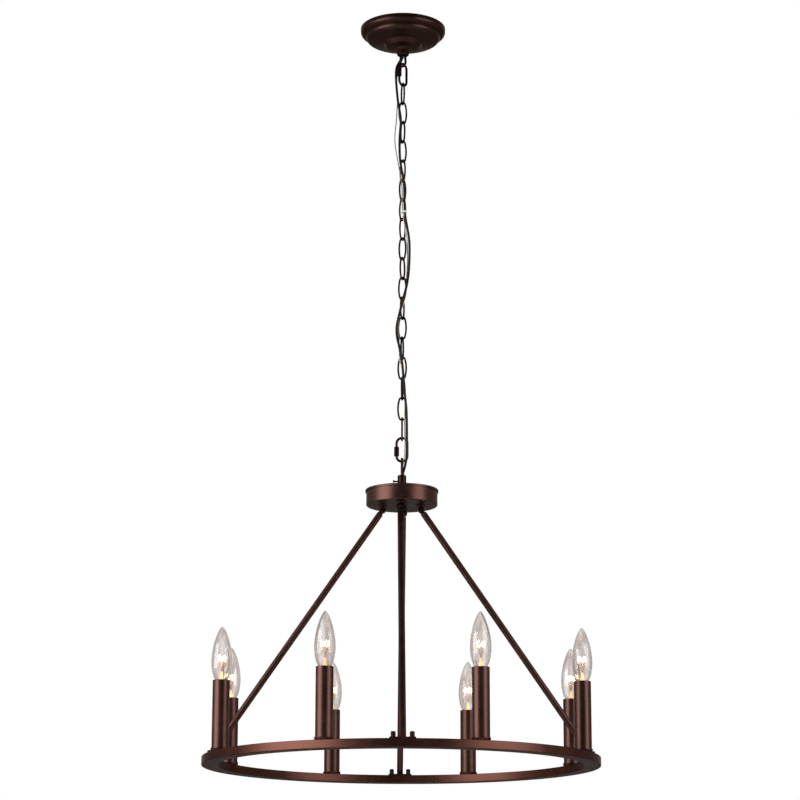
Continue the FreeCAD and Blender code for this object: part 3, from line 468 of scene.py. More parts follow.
def neck_loop(foot, end):
    """A wire loop in the XZ plane, from a neck's end out to the height of the bend's end."""
    way = 1 if end > foot else -1
    centre = end - way * LOOP_BEND
    root = foot - way * LOOP_ROOT
    reach = way * (centre - root)
    lean = math.atan2(reach, LOOP_FOOT) - math.acos(LOOP_BEND / math.hypot(reach, LOOP_FOOT))
    bend_x = LOOP_BEND * math.cos(lean)
    bend_z = centre - way * LOOP_BEND * math.sin(lean)
    leg = Vector((bend_x - LOOP_FOOT, bend_z - root)) * MM
    shape, start = start_wire(LOOP_WIRE * MM, Vector((LOOP_FOOT, 0, root)) * MM, (leg.x, 0, leg.y))
    cap(shape, start)
    start = wire_straight(shape, start, leg)
    start = wire_bend(shape, start, (0, centre * MM), way * (180 + 2 * math.degrees(lean)), LOOP_STEPS)
    start = wire_straight(shape, start, (leg.x, -leg.y))
    cap(shape, start)
    return shape


def in_metres(outline):
    """An outline that was given in millimetres."""
    return [(r * MM, z * MM) for r, z in outline]


# %% The loop under the canopy
TUBE_SLIP = 0.3
NECK_END_WALL = 3.7
NECK_CHAMFER = 0.4
NECK_STEPS = 40

canopy_loop_shape = neck_loop(CANOPY_NECK_END, CANOPY_LOOP)
spin_outline(canopy_loop_shape, in_metres([
    (CABLE_BORE, CANOPY_NECK_END), (NECK_RADIUS - NECK_CHAMFER, CANOPY_NECK_END),
    (NECK_RADIUS, CANOPY_NECK_END + NECK_CHAMFER), (NECK_RADIUS, CANOPY_NECK_TOP),
    (LAMP_TUBE + TUBE_SLIP, CANOPY_NECK_TOP), (LAMP_TUBE + TUBE_SLIP, CANOPY_NECK_END + NECK_END_WALL),
    (CABLE_BORE, CANOPY_NECK_END + NECK_END_WALL),
]), steps=NECK_STEPS)
settle(canopy_loop_shape, CANOPY_LOOP_TURN, 0)
upper_loop = finish_mesh("canopy_loop_round", canopy_loop_shape, "canopy_loop")
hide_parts("canopy_loop")

# %% The loop on the hub
HUB_TOP = -775.3
TUBE_REACH = 10
# How far in from the neck's side and down from its top each point of the rounded edge lies.
NECK_ROUND = [(0, 1.2), (0.25, 0.65), (0.65, 0.25), (1.2, 0)]

hub_loop_shape = settle(neck_loop(HUB_NECK_TOP, HUB_LOOP), HUB_LOOP_TURN, 0)
spin_outline(hub_loop_shape, in_metres([
    (LAMP_TUBE, HUB_TOP), (NECK_RADIUS, HUB_TOP),
    *[(NECK_RADIUS - inward, HUB_NECK_TOP - down) for inward, down in NECK_ROUND],
    (CABLE_BORE, HUB_NECK_TOP), (CABLE_BORE, HUB_TOP + TUBE_REACH), (LAMP_TUBE, HUB_TOP + TUBE_REACH),
]), steps=NECK_STEPS)
lower_loop = finish_mesh("hub_loop_round", hub_loop_shape, "fixture")
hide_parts("hub_loop")

# %% [markdown]
# ## The wheel
# Rolled tube and spun pieces have soft edges that catch the light. Each is an outline spun round, with its
# corners rounded by a bevel, or by a few points where its top is domed. Pieces that stand round the ring are
# made at the +X side and copied.

# %% Ring
RING_TOP = -1194.6 * MM
RING_OUTSIDE = 305.0 * MM
RING_WIDTH = 25.4 * MM
RING_HEIGHT = 12.7 * MM
RING_EDGE = 0.9 * MM

ring_shape = spin_outline(bmesh.new(), [
    (RING_OUTSIDE - RING_WIDTH, RING_TOP - RING_HEIGHT), (RING_OUTSIDE, RING_TOP - RING_HEIGHT),
    (RING_OUTSIDE, RING_TOP), (RING_OUTSIDE - RING_WIDTH, RING_TOP),
], steps=180)
ring = finish_mesh("ring_soft_edged", soften(ring_shape, RING_EDGE, segments=3), "fixture")
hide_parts("ring")

# %% Places round the ring
CANDLE_COUNT = 8
ROD_COUNT = 4
RING_MIDDLE = RING_OUTSIDE - RING_WIDTH / 2
CANDLE_ANGLES = [360 / CANDLE_COUNT * (n + 0.5) - 90 for n in range(CANDLE_COUNT)]
ROD_ANGLES = [360 / ROD_COUNT * n for n in range(ROD_COUNT)]


def to_ring(shape, angles=CANDLE_ANGLES, aside=0.0):
    """Move a piece made about the Z axis out to the ring, and copy it round."""
    bmesh.ops.translate(shape, verts=shape.verts, vec=Vector((RING_MIDDLE, aside, 0)))
    return copies_round(shape, angles)


print("candles at", CANDLE_ANGLES, "degrees")

# %% Cups
CANDLE_STEPS = 56
CUP_BORE = 4.8 * MM
CUP_INSIDE = 13.0 * MM
CUP_BOTTOM = 13.3 * MM
CUP_SIDE = 14.1 * MM
CUP_RIM = 14.5 * MM
CUP_HEIGHT = 4.0 * MM
CUP_EDGE = 0.4 * MM
SLEEVE_FOOT = RING_TOP + 3.0 * MM

cup_shape = spin_outline(bmesh.new(), [
    (CUP_BORE, RING_TOP), (CUP_BOTTOM, RING_TOP), (CUP_SIDE, RING_TOP + CUP_HEIGHT / 2),
    (CUP_RIM, RING_TOP + CUP_HEIGHT), (CUP_INSIDE, RING_TOP + CUP_HEIGHT), (CUP_INSIDE, SLEEVE_FOOT),
    (CUP_BORE, SLEEVE_FOOT),
], steps=CANDLE_STEPS)
cup_shape = to_ring(soften(cup_shape, CUP_EDGE))
cups = finish_mesh("candle_cups_soft_edged", cup_shape, "fixture")
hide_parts("candle_cups")

# %% Sleeves
SLEEVE_LENGTH = 102.0 * MM
SLEEVE_OUTSIDE = 12.85 * MM
SLEEVE_INSIDE = 11.85 * MM
SLEEVE_EDGE = 0.3 * MM

sleeve_shape = spin_outline(bmesh.new(), [
    (SLEEVE_INSIDE, SLEEVE_FOOT), (SLEEVE_OUTSIDE, SLEEVE_FOOT),
    (SLEEVE_OUTSIDE, SLEEVE_FOOT + SLEEVE_LENGTH), (SLEEVE_INSIDE, SLEEVE_FOOT + SLEEVE_LENGTH),
], steps=CANDLE_STEPS)
sleeve_shape = to_ring(soften(sleeve_shape, SLEEVE_EDGE))
sleeves = finish_mesh("candle_sleeves_soft_edged", sleeve_shape, "fixture")
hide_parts("candle_sleeves")

# %% Foot nuts
FOOT_NUT_FOOT = RING_TOP + 2.1 * MM
FOOT_NUT_TOP = FOOT_NUT_FOOT + 8.6 * MM
FOOT_NUT_RADIUS = 3.6 * MM
FOOT_NUT_ASIDE = 13.5 * MM
# The radius of each point of the domed top, and how far it lies below the top.
FOOT_NUT_DOME = [(FOOT_NUT_RADIUS, 1.0 * MM), (3.2 * MM, 0.3 * MM), (2.3 * MM, 0)]


def foot_nut(side):
    """One nut at each rod's foot, on one side of the rod."""
    shape = spin_outline(bmesh.new(), [
        (0, FOOT_NUT_FOOT), (FOOT_NUT_RADIUS, FOOT_NUT_FOOT),
        *[(radius, FOOT_NUT_TOP - down) for radius, down in FOOT_NUT_DOME], (0, FOOT_NUT_TOP),
    ], steps=28, closed=False)
    return to_ring(shape, ROD_ANGLES, side * FOOT_NUT_ASIDE)


nuts_shape = foot_nut(-1)
other_nuts = bpy.data.meshes.new("other_nuts")
other_shape = foot_nut(1)
other_shape.to_mesh(other_nuts)
other_shape.free()
nuts_shape.from_mesh(other_nuts)
foot_nuts = finish_mesh("foot_nuts_rounded", nuts_shape, "fixture")
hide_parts("foot_nuts")

# %% [markdown]
# ## The lamps
# A torpedo bulb is blown glass, widest below its middle and round at the tip. Its outline is spun round,
# given a wall with solidify, and smoothed by a subdivision surface. Inside, thin wires fan out from a glass
# stem and hold the filament, which runs up and down between them like a crown. A spin that also climbs
# makes each of its runs. One lamp is made on the +X side and copied to all eight places.

# %% Bulb sizes
BULB_FOOT = -1092.6 * MM
BULB_LENGTH = 84.0 * MM
BULB_RADIUS = 15.9 * MM
BULB_WALL = 0.6 * MM
print("bulbs stand", round(RING_MIDDLE, 4), "m from the axis")

# %% Bulb glass
def bulb_outline():
    """Radius and height up the bulb, from its foot to its tip, in shares of the widest and the length."""
    shares = [
        (0.0, 0.45), (0.02, 0.49), (0.05, 0.61), (0.10, 0.755), (0.16, 0.86), (0.24, 0.95), (0.32, 0.99),
        (0.39, 1.0), (0.47, 0.975), (0.56, 0.92), (0.65, 0.83), (0.74, 0.71), (0.82, 0.575), (0.89, 0.43),
        (0.94, 0.30), (0.972, 0.18), (0.988, 0.085),
    ]
    outline = [(BULB_RADIUS * wide, BULB_FOOT + BULB_LENGTH * up) for up, wide in shares]
    return outline + [(0, BULB_FOOT + BULB_LENGTH * 0.998)]


glass_shape = spin_outline(bmesh.new(), bulb_outline(), steps=32, closed=False)
bmesh.ops.remove_doubles(glass_shape, verts=glass_shape.verts, dist=MERGE_GAP)
bmesh.ops.recalc_face_normals(glass_shape, faces=glass_shape.faces)
bmesh.ops.solidify(glass_shape, geom=glass_shape.faces[:], thickness=BULB_WALL)
bulbs = finish_mesh("bulb_glass_blown", to_ring(glass_shape), "fixture", sharp=60)
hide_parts("bulb_glasses")
# A subdivision surface takes the Weighted Normal modifier's place, because the glass has no flat faces.
bulbs.modifiers.clear()
smooth = bulbs.modifiers.new("smooth", "SUBSURF")
smooth.levels = smooth.render_levels = 1

# %% Glass stem
STEM_TOP = BULB_FOOT + 17 * MM
STEM_FOOT = BULB_FOOT + BULB_WALL
STEM_FLARE = 5.6 * MM
# The radius of each point down the stem's side, and how far it lies below the top.
STEM_SIDE = [(1.6 * MM, 0.8 * MM), (1.9 * MM, 6 * MM), (3.0 * MM, 11 * MM)]

stem_shape = spin_outline(bmesh.new(), [
    (0, STEM_TOP), *[(radius, STEM_TOP - down) for radius, down in STEM_SIDE],
    (STEM_FLARE, STEM_FOOT), (0, STEM_FOOT),
], steps=20, closed=False)
stems = finish_mesh("bulb_glass_stems", to_ring(stem_shape), "fixture", sharp=60)

# %% Support wires
CROWN_RADIUS = 5.6 * MM
CROWN_LOW = BULB_FOOT + 32.0 * MM
CROWN_RISE = 8.0 * MM
CROWN_LEGS = 7
LEG_DEGREES = 45.0
SUPPORT_WIRE = 0.2 * MM
SUPPORT_ROOT = 0.7 * MM
SUPPORT_SUNK = 3 * MM
SUPPORT_BARE = 1 * MM


def support_wires():
    """Thin wires that fan out from the stem to each turn of the filament."""
    wires = bmesh.new()
    for n in range(CROWN_LEGS + 1):
        shape, end = start_wire(SUPPORT_WIRE, (SUPPORT_ROOT, 0, STEM_TOP - SUPPORT_SUNK), (0, 0, 1))
        cap(shape, end)
        end = wire_straight(shape, end, (0, SUPPORT_SUNK + SUPPORT_BARE))
        rise = CROWN_LOW + CROWN_RISE * (n % 2) - STEM_TOP - SUPPORT_BARE
        end = wire_straight(shape, end, (CROWN_RADIUS - SUPPORT_ROOT, rise))
        cap(shape, end)
        settle(shape, n * LEG_DEGREES, 0)
        one = bpy.data.meshes.new("support_wire")
        shape.to_mesh(one)
        shape.free()
        wires.from_mesh(one)
    return wires


supports = finish_mesh("bulb_support_wires", to_ring(support_wires()), "fixture")

# %% Filament
FILAMENT_WIRE = 0.7 * MM
CLIMB_STEPS = 5


def filament():
    """A crown: the wire goes round the bulb's axis, up and down between its supports."""
    shape, end = start_wire(FILAMENT_WIRE, (CROWN_RADIUS, 0, CROWN_LOW), (0, 1, 0))
    cap(shape, end)
    for n in range(CROWN_LEGS):
        climb = CROWN_RISE if n % 2 == 0 else -CROWN_RISE
        verts = list({v for e in end for v in e.verts})
        made = bmesh.ops.spin(
            shape, geom=verts + end, cent=(0, 0, 0), axis=UP, angle=math.radians(LEG_DEGREES),
            steps=CLIMB_STEPS, dvec=(0, 0, climb / CLIMB_STEPS),
        )
        end = end_of(made["geom_last"])
    cap(shape, end)
    return shape


filaments = finish_mesh("bulb_filaments", to_ring(filament()), "fixture")

# %% [markdown]
# ## Finishes
# An oil-rubbed bronze is a dark brown metallic paint, satin, with faint clouds and lighter copper along
# rubbed edges. Two node groups make these effects once: one gives soft clouds, the other finds edges by
# comparing the true normal with a rounded one. Each material places them with its own values. A metal
# reflects almost everything at a glancing angle, and this paint doesn't, so its Specular Tint is brown.

# %% Node helpers
def add(tree, kind, place, **settings):
    """A new node of a kind at a place, with its settings."""
    made = tree.nodes.new(kind)
    made.location = place
    for name, value in settings.items():
        setattr(made, name, value)
    return made


def join(tree, source, target):
    """Link an output to an input."""
    tree.links.new(source, target)


def effect_group(name, inputs, outputs):
    """An empty node group with named number sockets, and its input and output nodes."""
    tree = bpy.data.node_groups.new(name, "ShaderNodeTree")
    for label, value in inputs.items():
        socket = tree.interface.new_socket(name=label, in_out="INPUT", socket_type="NodeSocketFloat")
        socket.default_value = value
    for label in outputs:
        tree.interface.new_socket(name=label, in_out="OUTPUT", socket_type="NodeSocketFloat")
    entry = add(tree, "NodeGroupInput", (-800, 0))
    leave = add(tree, "NodeGroupOutput", (600, 0))
    return tree, entry, leave


# %% Effect groups
def make_clouds():
    """Soft clouds for tone, and a fine grain for the bump."""
    sizes = {"Cloud Size": 60.0, "Grain Size": 1500.0}
    tree, entry, leave = effect_group("clouds", sizes, ["Cloud", "Grain"])
    where = add(tree, "ShaderNodeTexCoord", (-800, 300))
    for n, (size, output, detail) in enumerate((("Cloud Size", "Cloud", 3.0), ("Grain Size", "Grain", 2.0))):
        noise = add(tree, "ShaderNodeTexNoise", (-400, -300 * n))
        noise.inputs["Detail"].default_value = detail
        spread = add(tree, "ShaderNodeMapRange", (0, -300 * n))
        spread.inputs["From Min"].default_value = 0.3
        spread.inputs["From Max"].default_value = 0.7
        join(tree, where.outputs["Object"], noise.inputs["Vector"])
        join(tree, entry.outputs[size], noise.inputs["Scale"])
        join(tree, noise.outputs["Fac"], spread.inputs["Value"])
        join(tree, spread.outputs["Result"], leave.inputs[output])
    return tree


def make_rubbed_edges():
    """1 along edges within a width, broken up by noise, and 0 on flats."""
    tree, entry, leave = effect_group("rubbed_edges", {"Width": 0.0008, "Strength": 1.0}, ["Edge"])
    rounded = add(tree, "ShaderNodeBevel", (-500, 100), samples=6)
    true = add(tree, "ShaderNodeNewGeometry", (-500, -100))
    turned = add(tree, "ShaderNodeVectorMath", (-300, 0), operation="DOT_PRODUCT")
    away = add(tree, "ShaderNodeMath", (-100, 0), operation="SUBTRACT")
    away.inputs[0].default_value = 1.0
    noise = add(tree, "ShaderNodeTexNoise", (-300, -300))
    noise.inputs["Scale"].default_value = 220.0
    broken = add(tree, "ShaderNodeMath", (100, -100), operation="MULTIPLY")
    strong = add(tree, "ShaderNodeMath", (300, 0), operation="MULTIPLY", use_clamp=True)
    where = add(tree, "ShaderNodeTexCoord", (-500, -300))
    join(tree, entry.outputs["Width"], rounded.inputs["Radius"])
    join(tree, rounded.outputs["Normal"], turned.inputs[0])
    join(tree, true.outputs["Normal"], turned.inputs[1])
    join(tree, turned.outputs["Value"], away.inputs[1])
    join(tree, where.outputs["Object"], noise.inputs["Vector"])
    join(tree, away.outputs["Value"], broken.inputs[0])
    join(tree, noise.outputs["Fac"], broken.inputs[1])
    join(tree, broken.outputs["Value"], strong.inputs[0])
    join(tree, entry.outputs["Strength"], strong.inputs[1])
    join(tree, strong.outputs["Value"], leave.inputs["Edge"])
    return tree


clouds_group = make_clouds()
edges_group = make_rubbed_edges()
print([group.name for group in bpy.data.node_groups])

# %% Material helpers
def new_material(name, metallic=0.0, roughness=0.5, **constants):
    """A material with its Principled shader, and numbers that are the same all over."""
    material = bpy.data.materials.new(name)
    material.use_nodes = True
    tree = material.node_tree
    shader = tree.nodes["Principled BSDF"]
    shader.inputs["Metallic"].default_value = metallic
    shader.inputs["Roughness"].default_value = roughness
    for label, value in constants.items():
        shader.inputs[label.replace("_", " ")].default_value = value
    return material, tree, shader


def place_group(tree, group, place, **values):
    """Put an effect group into a material, with its own values."""
    made = add(tree, "ShaderNodeGroup", place, node_tree=group)
    for label, value in values.items():
        made.inputs[label.replace("_", " ")].default_value = value
    return made


def blend_colours(tree, factor, first, second, place=(-400, 0)):
    """Mix two colours by a mask. A colour is a triple, or a socket."""
    mix = add(tree, "ShaderNodeMix", place, data_type="RGBA")
    join(tree, factor, mix.inputs["Factor"])
    for socket, colour in ((mix.inputs[6], first), (mix.inputs[7], second)):
        if isinstance(colour, tuple):
            socket.default_value = (*colour, 1)
        else:
            join(tree, colour, socket)
    return mix.outputs[2]


def vary(tree, factor, low, high):
    """Spread a mask between two values."""
    spread = add(tree, "ShaderNodeMapRange", (-400, -300))
    spread.inputs["To Min"].default_value = low
    spread.inputs["To Max"].default_value = high
    join(tree, factor, spread.inputs["Value"])
    return spread.outputs["Result"]


def bump(tree, shader, height, strength, distance):
    """Let a height pattern tilt the shading."""
    made = add(tree, "ShaderNodeBump", (-300, -600))
    made.inputs["Strength"].default_value = strength
    made.inputs["Distance"].default_value = distance
    join(tree, height, made.inputs["Height"])
    join(tree, made.outputs["Normal"], shader.inputs["Normal"])


GRAIN_STRENGTH = 0.12
GRAIN_HEIGHT = 0.05 * MM
EDGE_WIDTH = 0.7 * MM
EDGE_STRENGTH = 0.6


def painted_metal(name, tones, roughness, metallic, coat=0.0, tint=(1, 1, 1)):
    """Satin paint or plating: clouds between two tones, and a third tone on rubbed edges."""
    material, tree, shader = new_material(name, metallic, Coat_Weight=coat, Coat_Roughness=0.3)
    shader.inputs["Specular Tint"].default_value = (*tint, 1)
    dark, light, rubbed = tones
    clouds = place_group(tree, clouds_group, (-900, 0), Cloud_Size=45.0, Grain_Size=2600.0)
    edges = place_group(tree, edges_group, (-900, -300), Width=EDGE_WIDTH, Strength=EDGE_STRENGTH)
    tone = blend_colours(tree, clouds.outputs["Cloud"], dark, light, (-600, 200))
    colour = blend_colours(tree, edges.outputs["Edge"], tone, rubbed, (-400, 200))
    join(tree, colour, shader.inputs["Base Color"])
    join(tree, vary(tree, clouds.outputs["Cloud"], *roughness), shader.inputs["Roughness"])
    bump(tree, shader, clouds.outputs["Grain"], GRAIN_STRENGTH, GRAIN_HEIGHT)
    return material


# %% The bronzes
BROWN_EDGE = (0.46, 0.44, 0.41)
bronze = painted_metal(
    "oil_rubbed_bronze", [(0.050, 0.0235, 0.0185), (0.064, 0.030, 0.0235), (0.15, 0.070, 0.052)],
    (0.34, 0.42), 0.92, coat=0.04, tint=BROWN_EDGE,
)
# Painted light: a brighter, redder copy of the same bronze, so that the ring reads lighter than this paint
# does under the lamps; its weaker glancing reflection dims the underside.
ring_bronze_painted_light = painted_metal(
    "ring_bronze_painted_light", [(0.061, 0.0236, 0.0170), (0.076, 0.0297, 0.0214), (0.17, 0.070, 0.049)],
    (0.34, 0.42), 0.93, coat=0.03, tint=(0.27, 0.25, 0.22),
)
# Painted shade: a darker copy of the same bronze, so that the canopy and its collar read darker than this
# paint does under the lamps.
canopy_bronze_painted_shade = painted_metal(
    "canopy_bronze_painted_shade", [(0.027, 0.0125, 0.0100), (0.033, 0.0150, 0.0118), (0.08, 0.038, 0.029)],
    (0.34, 0.42), 0.92, coat=0.04, tint=BROWN_EDGE,
)
wire_bronze = painted_metal(
    "dark_wire_bronze", [(0.014, 0.0070, 0.0055), (0.022, 0.011, 0.0085), (0.09, 0.045, 0.034)],
    (0.34, 0.45), 0.92, tint=(0.30, 0.28, 0.26),
)
print("bronzes:", bronze.name, ring_bronze_painted_light.name, canopy_bronze_painted_shade.name, wire_bronze.name)

# %% Plated steel, plastics and copper
zinc = painted_metal(
    "zinc_plate", [(0.50, 0.50, 0.47), (0.62, 0.62, 0.58), (0.7, 0.7, 0.68)], (0.28, 0.4), 1.0
)
nickel = painted_metal(
    "nickel_plate", [(0.62, 0.60, 0.56), (0.72, 0.69, 0.64), (0.8, 0.78, 0.74)], (0.15, 0.25), 1.0
)
green = painted_metal(
    "green_screw_paint", [(0.02, 0.18, 0.05), (0.03, 0.24, 0.07), (0.3, 0.32, 0.3)], (0.3, 0.4), 0.1
)
ivory = painted_metal(
    "socket_plastic", [(0.70, 0.66, 0.57), (0.76, 0.72, 0.63), (0.8, 0.77, 0.7)], (0.4, 0.5), 0.0
)
tie_plastic = painted_metal(
    "clear_tie_plastic", [(0.60, 0.59, 0.57), (0.70, 0.69, 0.67), (0.8, 0.8, 0.78)], (0.2, 0.3), 0.0, coat=0.3
)
jacket = painted_metal(
    "brown_cord_jacket", [(0.005, 0.0035, 0.003), (0.009, 0.006, 0.005), (0.02, 0.014, 0.012)],
    (0.45, 0.55), 0.0, tint=(0.35, 0.33, 0.31),
)
copper = painted_metal(
    "clear_over_copper", [(0.26, 0.20, 0.14), (0.40, 0.33, 0.25), (0.45, 0.38, 0.30)], (0.2, 0.3), 0.4,
    coat=0.8,
)
lead = painted_metal(
    "copper_lead_wire", [(0.62, 0.34, 0.17), (0.78, 0.46, 0.25), (0.8, 0.5, 0.3)], (0.2, 0.3), 1.0
)
print(len(bpy.data.materials), "materials so far")

# %% [markdown]
# ## Glass and glow
# The bulbs are thin blown glass, and their sides look grey where the wall is seen edge on. A wall this thin
# bends light too little to show that in a small picture, so a Layer Weight mask paints shade on the glass
# towards its sides, and a noise stretched along Z paints faint stripes of reflection up the glass. The
# filament gives light of its own. The stem's faint glow is painted light, which stands in for the filament
# lighting it, and no lamp is needed for either.

# %% Glass
def clear_glass(name, middle, painted_reflection, painted_edge_shade, roughness, transmission=1.0):
    """Clear glass with painted reflections in long stripes, and painted shade where it is seen edge on."""
    material, tree, shader = new_material(name, 0.0, 0.02, Transmission_Weight=transmission, IOR=1.42)
    shader.inputs["Specular IOR Level"].default_value = 0.14
    clouds = place_group(tree, clouds_group, (-1100, -200), Cloud_Size=30.0, Grain_Size=300.0)
    where = add(tree, "ShaderNodeTexCoord", (-1500, 500))
    # Noise stretched along Z: painted reflections in long stripes up the glass.
    drawn = add(tree, "ShaderNodeMapping", (-1300, 500))
    drawn.inputs["Scale"].default_value = (1, 1, 0.07)
    reflection_noise = add(tree, "ShaderNodeTexNoise", (-1100, 500))
    reflection_noise.inputs["Scale"].default_value = 150.0
    strong = add(tree, "ShaderNodeMapRange", (-900, 500), interpolation_type="SMOOTHSTEP")
    strong.inputs["From Min"].default_value = 0.38
    strong.inputs["From Max"].default_value = 0.60
    join(tree, where.outputs["Object"], drawn.inputs["Vector"])
    join(tree, drawn.outputs["Vector"], reflection_noise.inputs["Vector"])
    join(tree, reflection_noise.outputs["Fac"], strong.inputs["Value"])
    # Layer Weight: painted shade on the glass where it is seen edge on.
    weight = add(tree, "ShaderNodeLayerWeight", (-1100, 200))
    weight.inputs["Blend"].default_value = 0.5
    side = add(tree, "ShaderNodeMapRange", (-900, 200), interpolation_type="SMOOTHSTEP")
    side.inputs["From Min"].default_value = 0.15
    side.inputs["From Max"].default_value = 0.8
    join(tree, weight.outputs["Facing"], side.inputs["Value"])
    face = blend_colours(tree, strong.outputs["Result"], middle, painted_reflection, (-700, 400))
    join(tree, blend_colours(tree, side.outputs["Result"], face, painted_edge_shade), shader.inputs["Base Color"])
    join(tree, vary(tree, clouds.outputs["Cloud"], *roughness), shader.inputs["Roughness"])
    return material


# The colours: clear glass, the painted reflection in its stripes, and the painted shade at its edge-on sides.
glass = clear_glass(
    "bulb_glass_clear", (0.90, 0.87, 0.855), (0.70, 0.65, 0.62), (0.40, 0.345, 0.325), (0.0, 0.02)
)
# The stem glass, with the same painted reflection stripes and painted edge shade as the bulbs.
stem_glass = clear_glass(
    "stem_glass_painted_glow", (0.95, 0.90, 0.82), (0.92, 0.84, 0.70), (0.80, 0.70, 0.55), (0.2, 0.3), 0.5
)
print("glass:", glass.name, stem_glass.name)

# %% Glow
def glowing(name, colour, strength):
    """A surface that gives light, a little whiter in its clouds."""
    material, tree, shader = new_material(name, 0.0, 0.6)
    clouds = place_group(tree, clouds_group, (-700, 0), Cloud_Size=400.0, Grain_Size=3000.0)
    warm = blend_colours(tree, clouds.outputs["Cloud"], colour, (1.0, 0.72, 0.38), (-400, 200))
    join(tree, warm, shader.inputs["Emission Color"])
    shader.inputs["Emission Strength"].default_value = strength
    return material


# Painted glow: the stem is no lamp, and this faint warm emission stands in for the filament's light on it.
stem_shader = stem_glass.node_tree.nodes["Principled BSDF"]
stem_shader.inputs["Emission Color"].default_value = (1.0, 0.66, 0.28, 1)
stem_shader.inputs["Emission Strength"].default_value = 0.7
glow = glowing("filament_glow", (1.0, 0.62, 0.25), 11.0)
print("glow:", glow.name)

# %% Give every piece its finish
NODE_FINISH = {
    "crossbar": zinc, "ground_screw": green, "ceiling_nipple": zinc, "crossbar_locknut": zinc,
    "hub_nipple": zinc, "hub_nipple_nut": zinc, "swivel_nuts": zinc, "candle_stems": zinc, "stem_nuts": zinc,
    "candle_sockets": ivory, "bulb_bases": nickel, "bulb_glasses": glass, "cord_tie": tie_plastic,
    "hub_lock_screw": wire_bronze, "swivel_pins": wire_bronze, "foot_nuts": wire_bronze,
    "canopy_loop": wire_bronze, "hub_loop": wire_bronze,
}


def paint(piece, material):
    """Give a piece one finish, in place of any that it has."""
    piece.data.materials.clear()
    piece.data.materials.append(material)


for name, node in nodes.items():
    paint(node, NODE_FINISH.get(name, bronze))
# The canopy and its collar take the darker copy of the bronze, which is painted shade.
for name in ("canopy", "canopy_collar"):
    paint(nodes[name], canopy_bronze_painted_shade)
for piece in (chain, upper_link, upper_nut, lower_link, lower_nut, upper_loop, lower_loop, foot_nuts):
    paint(piece, wire_bronze)
for piece in (cups, sleeves):
    paint(piece, bronze)
# The ring takes the brighter copy of the bronze, which is painted light.
paint(ring, ring_bronze_painted_light)
for piece in power_cord:
    paint(piece, jacket)
for piece in ground_wire:
    paint(piece, copper)
paint(bulbs, glass)
paint(stems, stem_glass)
paint(supports, lead)
paint(filaments, glow)
print(len(bpy.data.materials), "materials")

# %% [markdown]
# ## The studio
# The photograph was taken against plain white, with a large soft light on each side of the camera. The
# world is white to the camera and through glass, and in reflections from behind the object. In front it is
# darker, as a studio is, so that the two soft lights show as streaks on the metal. A wide pale floor lies
# well below. It is a little brighter to the eye than its light makes it, and from below it is seen through.

# %% World
def seen_directly(tree):
    """1 for what the camera sees, through glass too, and 0 for light and reflections."""
    rays = add(tree, "ShaderNodeLightPath", (-800, 400))
    seen = add(tree, "ShaderNodeMath", (-500, 300), operation="MAXIMUM")
    join(tree, rays.outputs["Is Camera Ray"], seen.inputs[0])
    join(tree, rays.outputs["Is Transmission Ray"], seen.inputs[1])
    return seen.outputs["Value"]


def studio_world():
    """White where it is seen directly and in reflections from behind, and darker in front."""
    world = bpy.data.worlds.new("studio")
    bpy.context.scene.world = world
    world.use_nodes = True
    tree = world.node_tree
    background = tree.nodes["Background"]
    background.inputs["Color"].default_value = (1, 1, 1, 1)
    where = add(tree, "ShaderNodeTexCoord", (-1200, 0))
    split = add(tree, "ShaderNodeSeparateXYZ", (-1000, 0))
    behind = add(tree, "ShaderNodeMapRange", (-800, 0), interpolation_type="SMOOTHSTEP")
    for label, value in (("From Min", -0.3), ("From Max", 0.8), ("To Min", 0.05), ("To Max", 1.0)):
        behind.inputs[label].default_value = value
    level = add(tree, "ShaderNodeMath", (-250, 200), operation="MAXIMUM")
    join(tree, where.outputs["Generated"], split.inputs["Vector"])
    join(tree, split.outputs["Y"], behind.inputs["Value"])
    join(tree, seen_directly(tree), level.inputs[0])
    join(tree, behind.outputs["Result"], level.inputs[1])
    join(tree, level.outputs["Value"], background.inputs["Strength"])
    return world


print("world:", studio_world().name)

# %% Soft lights
LIGHT_DISTANCE = 2.2
LIGHT_HEIGHT = -0.62
AIM_HEIGHT = -0.75


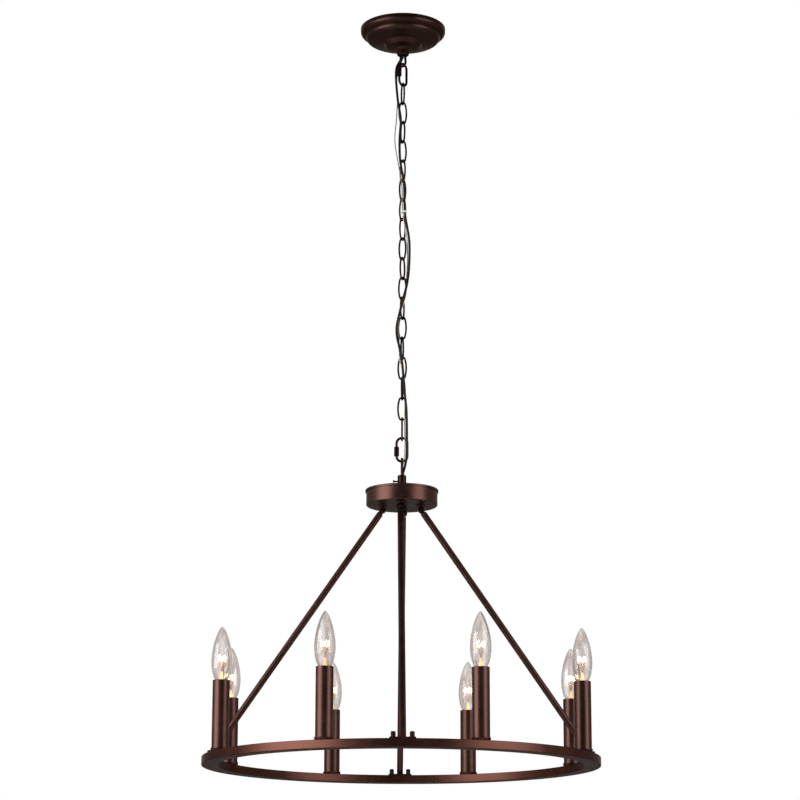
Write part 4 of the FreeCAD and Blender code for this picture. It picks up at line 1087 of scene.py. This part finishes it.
def soft_light(name, azimuth, size, power):
    """A large panel that looks at the fitting, and isn't seen through glass.

    Azimuth is from the camera's side, positive to the right.
    """
    data = bpy.data.lights.new(name, "AREA")
    data.shape = "RECTANGLE"
    data.size, data.size_y = size
    data.energy = power
    lamp = bpy.data.objects.new(name, data)
    turn = math.radians(azimuth)
    lamp.location = (LIGHT_DISTANCE * math.sin(turn), -LIGHT_DISTANCE * math.cos(turn), LIGHT_HEIGHT)
    aim = Vector((0, 0, AIM_HEIGHT)) - lamp.location
    lamp.rotation_euler = aim.to_track_quat("-Z", "Y").to_euler()
    lamp.visible_transmission = False
    bpy.context.collection.objects.link(lamp)
    return lamp


left_panel = soft_light("left_panel", -59, (1.8, 1.4), 63)
right_panel = soft_light("right_panel", 56, (1.4, 1.4), 34)
print("lights:", left_panel.data.energy, "and", right_panel.data.energy, "W")

# %% Floor
FLOOR_HEIGHT = -2.4
FLOOR_RADIUS = 30.0

floor_shape = bmesh.new()
at_height = Matrix.Translation((0, 0, FLOOR_HEIGHT))
bmesh.ops.create_circle(floor_shape, cap_ends=True, segments=64, radius=FLOOR_RADIUS, matrix=at_height)
floor_mesh = bpy.data.meshes.new("pale_floor")
floor_shape.to_mesh(floor_mesh)
floor_shape.free()
floor = bpy.data.objects.new("pale_floor", floor_mesh)
bpy.context.collection.objects.link(floor)
print("floor at", FLOOR_HEIGHT, "m")

# %% Floor paint
FLOOR_PALENESS = 0.52


def floor_paint():
    """Matt white, paler where it is seen directly, and clear from below."""
    material, tree, shader = new_material("white_floor", 0.0, 0.9)
    shader.inputs["Base Color"].default_value = (0.85, 0.85, 0.85, 1)
    shader.inputs["Emission Color"].default_value = (1, 1, 1, 1)
    paler = add(tree, "ShaderNodeMath", (-250, 200), operation="MULTIPLY")
    paler.inputs[1].default_value = FLOOR_PALENESS
    sight = add(tree, "ShaderNodeNewGeometry", (0, 500))
    clear = add(tree, "ShaderNodeBsdfTransparent", (0, -500))
    either = add(tree, "ShaderNodeMixShader", (400, 200))
    join(tree, seen_directly(tree), paler.inputs[0])
    join(tree, paler.outputs["Value"], shader.inputs["Emission Strength"])
    join(tree, sight.outputs["Backfacing"], either.inputs["Fac"])
    join(tree, shader.outputs["BSDF"], either.inputs[1])
    join(tree, clear.outputs["BSDF"], either.inputs[2])
    join(tree, either.outputs["Shader"], tree.nodes["Material Output"].inputs["Surface"])
    return material


paint(floor, floor_paint())
print(len(bpy.data.materials), "materials in all")

# %% [markdown]

# %% Finish
print("finished")
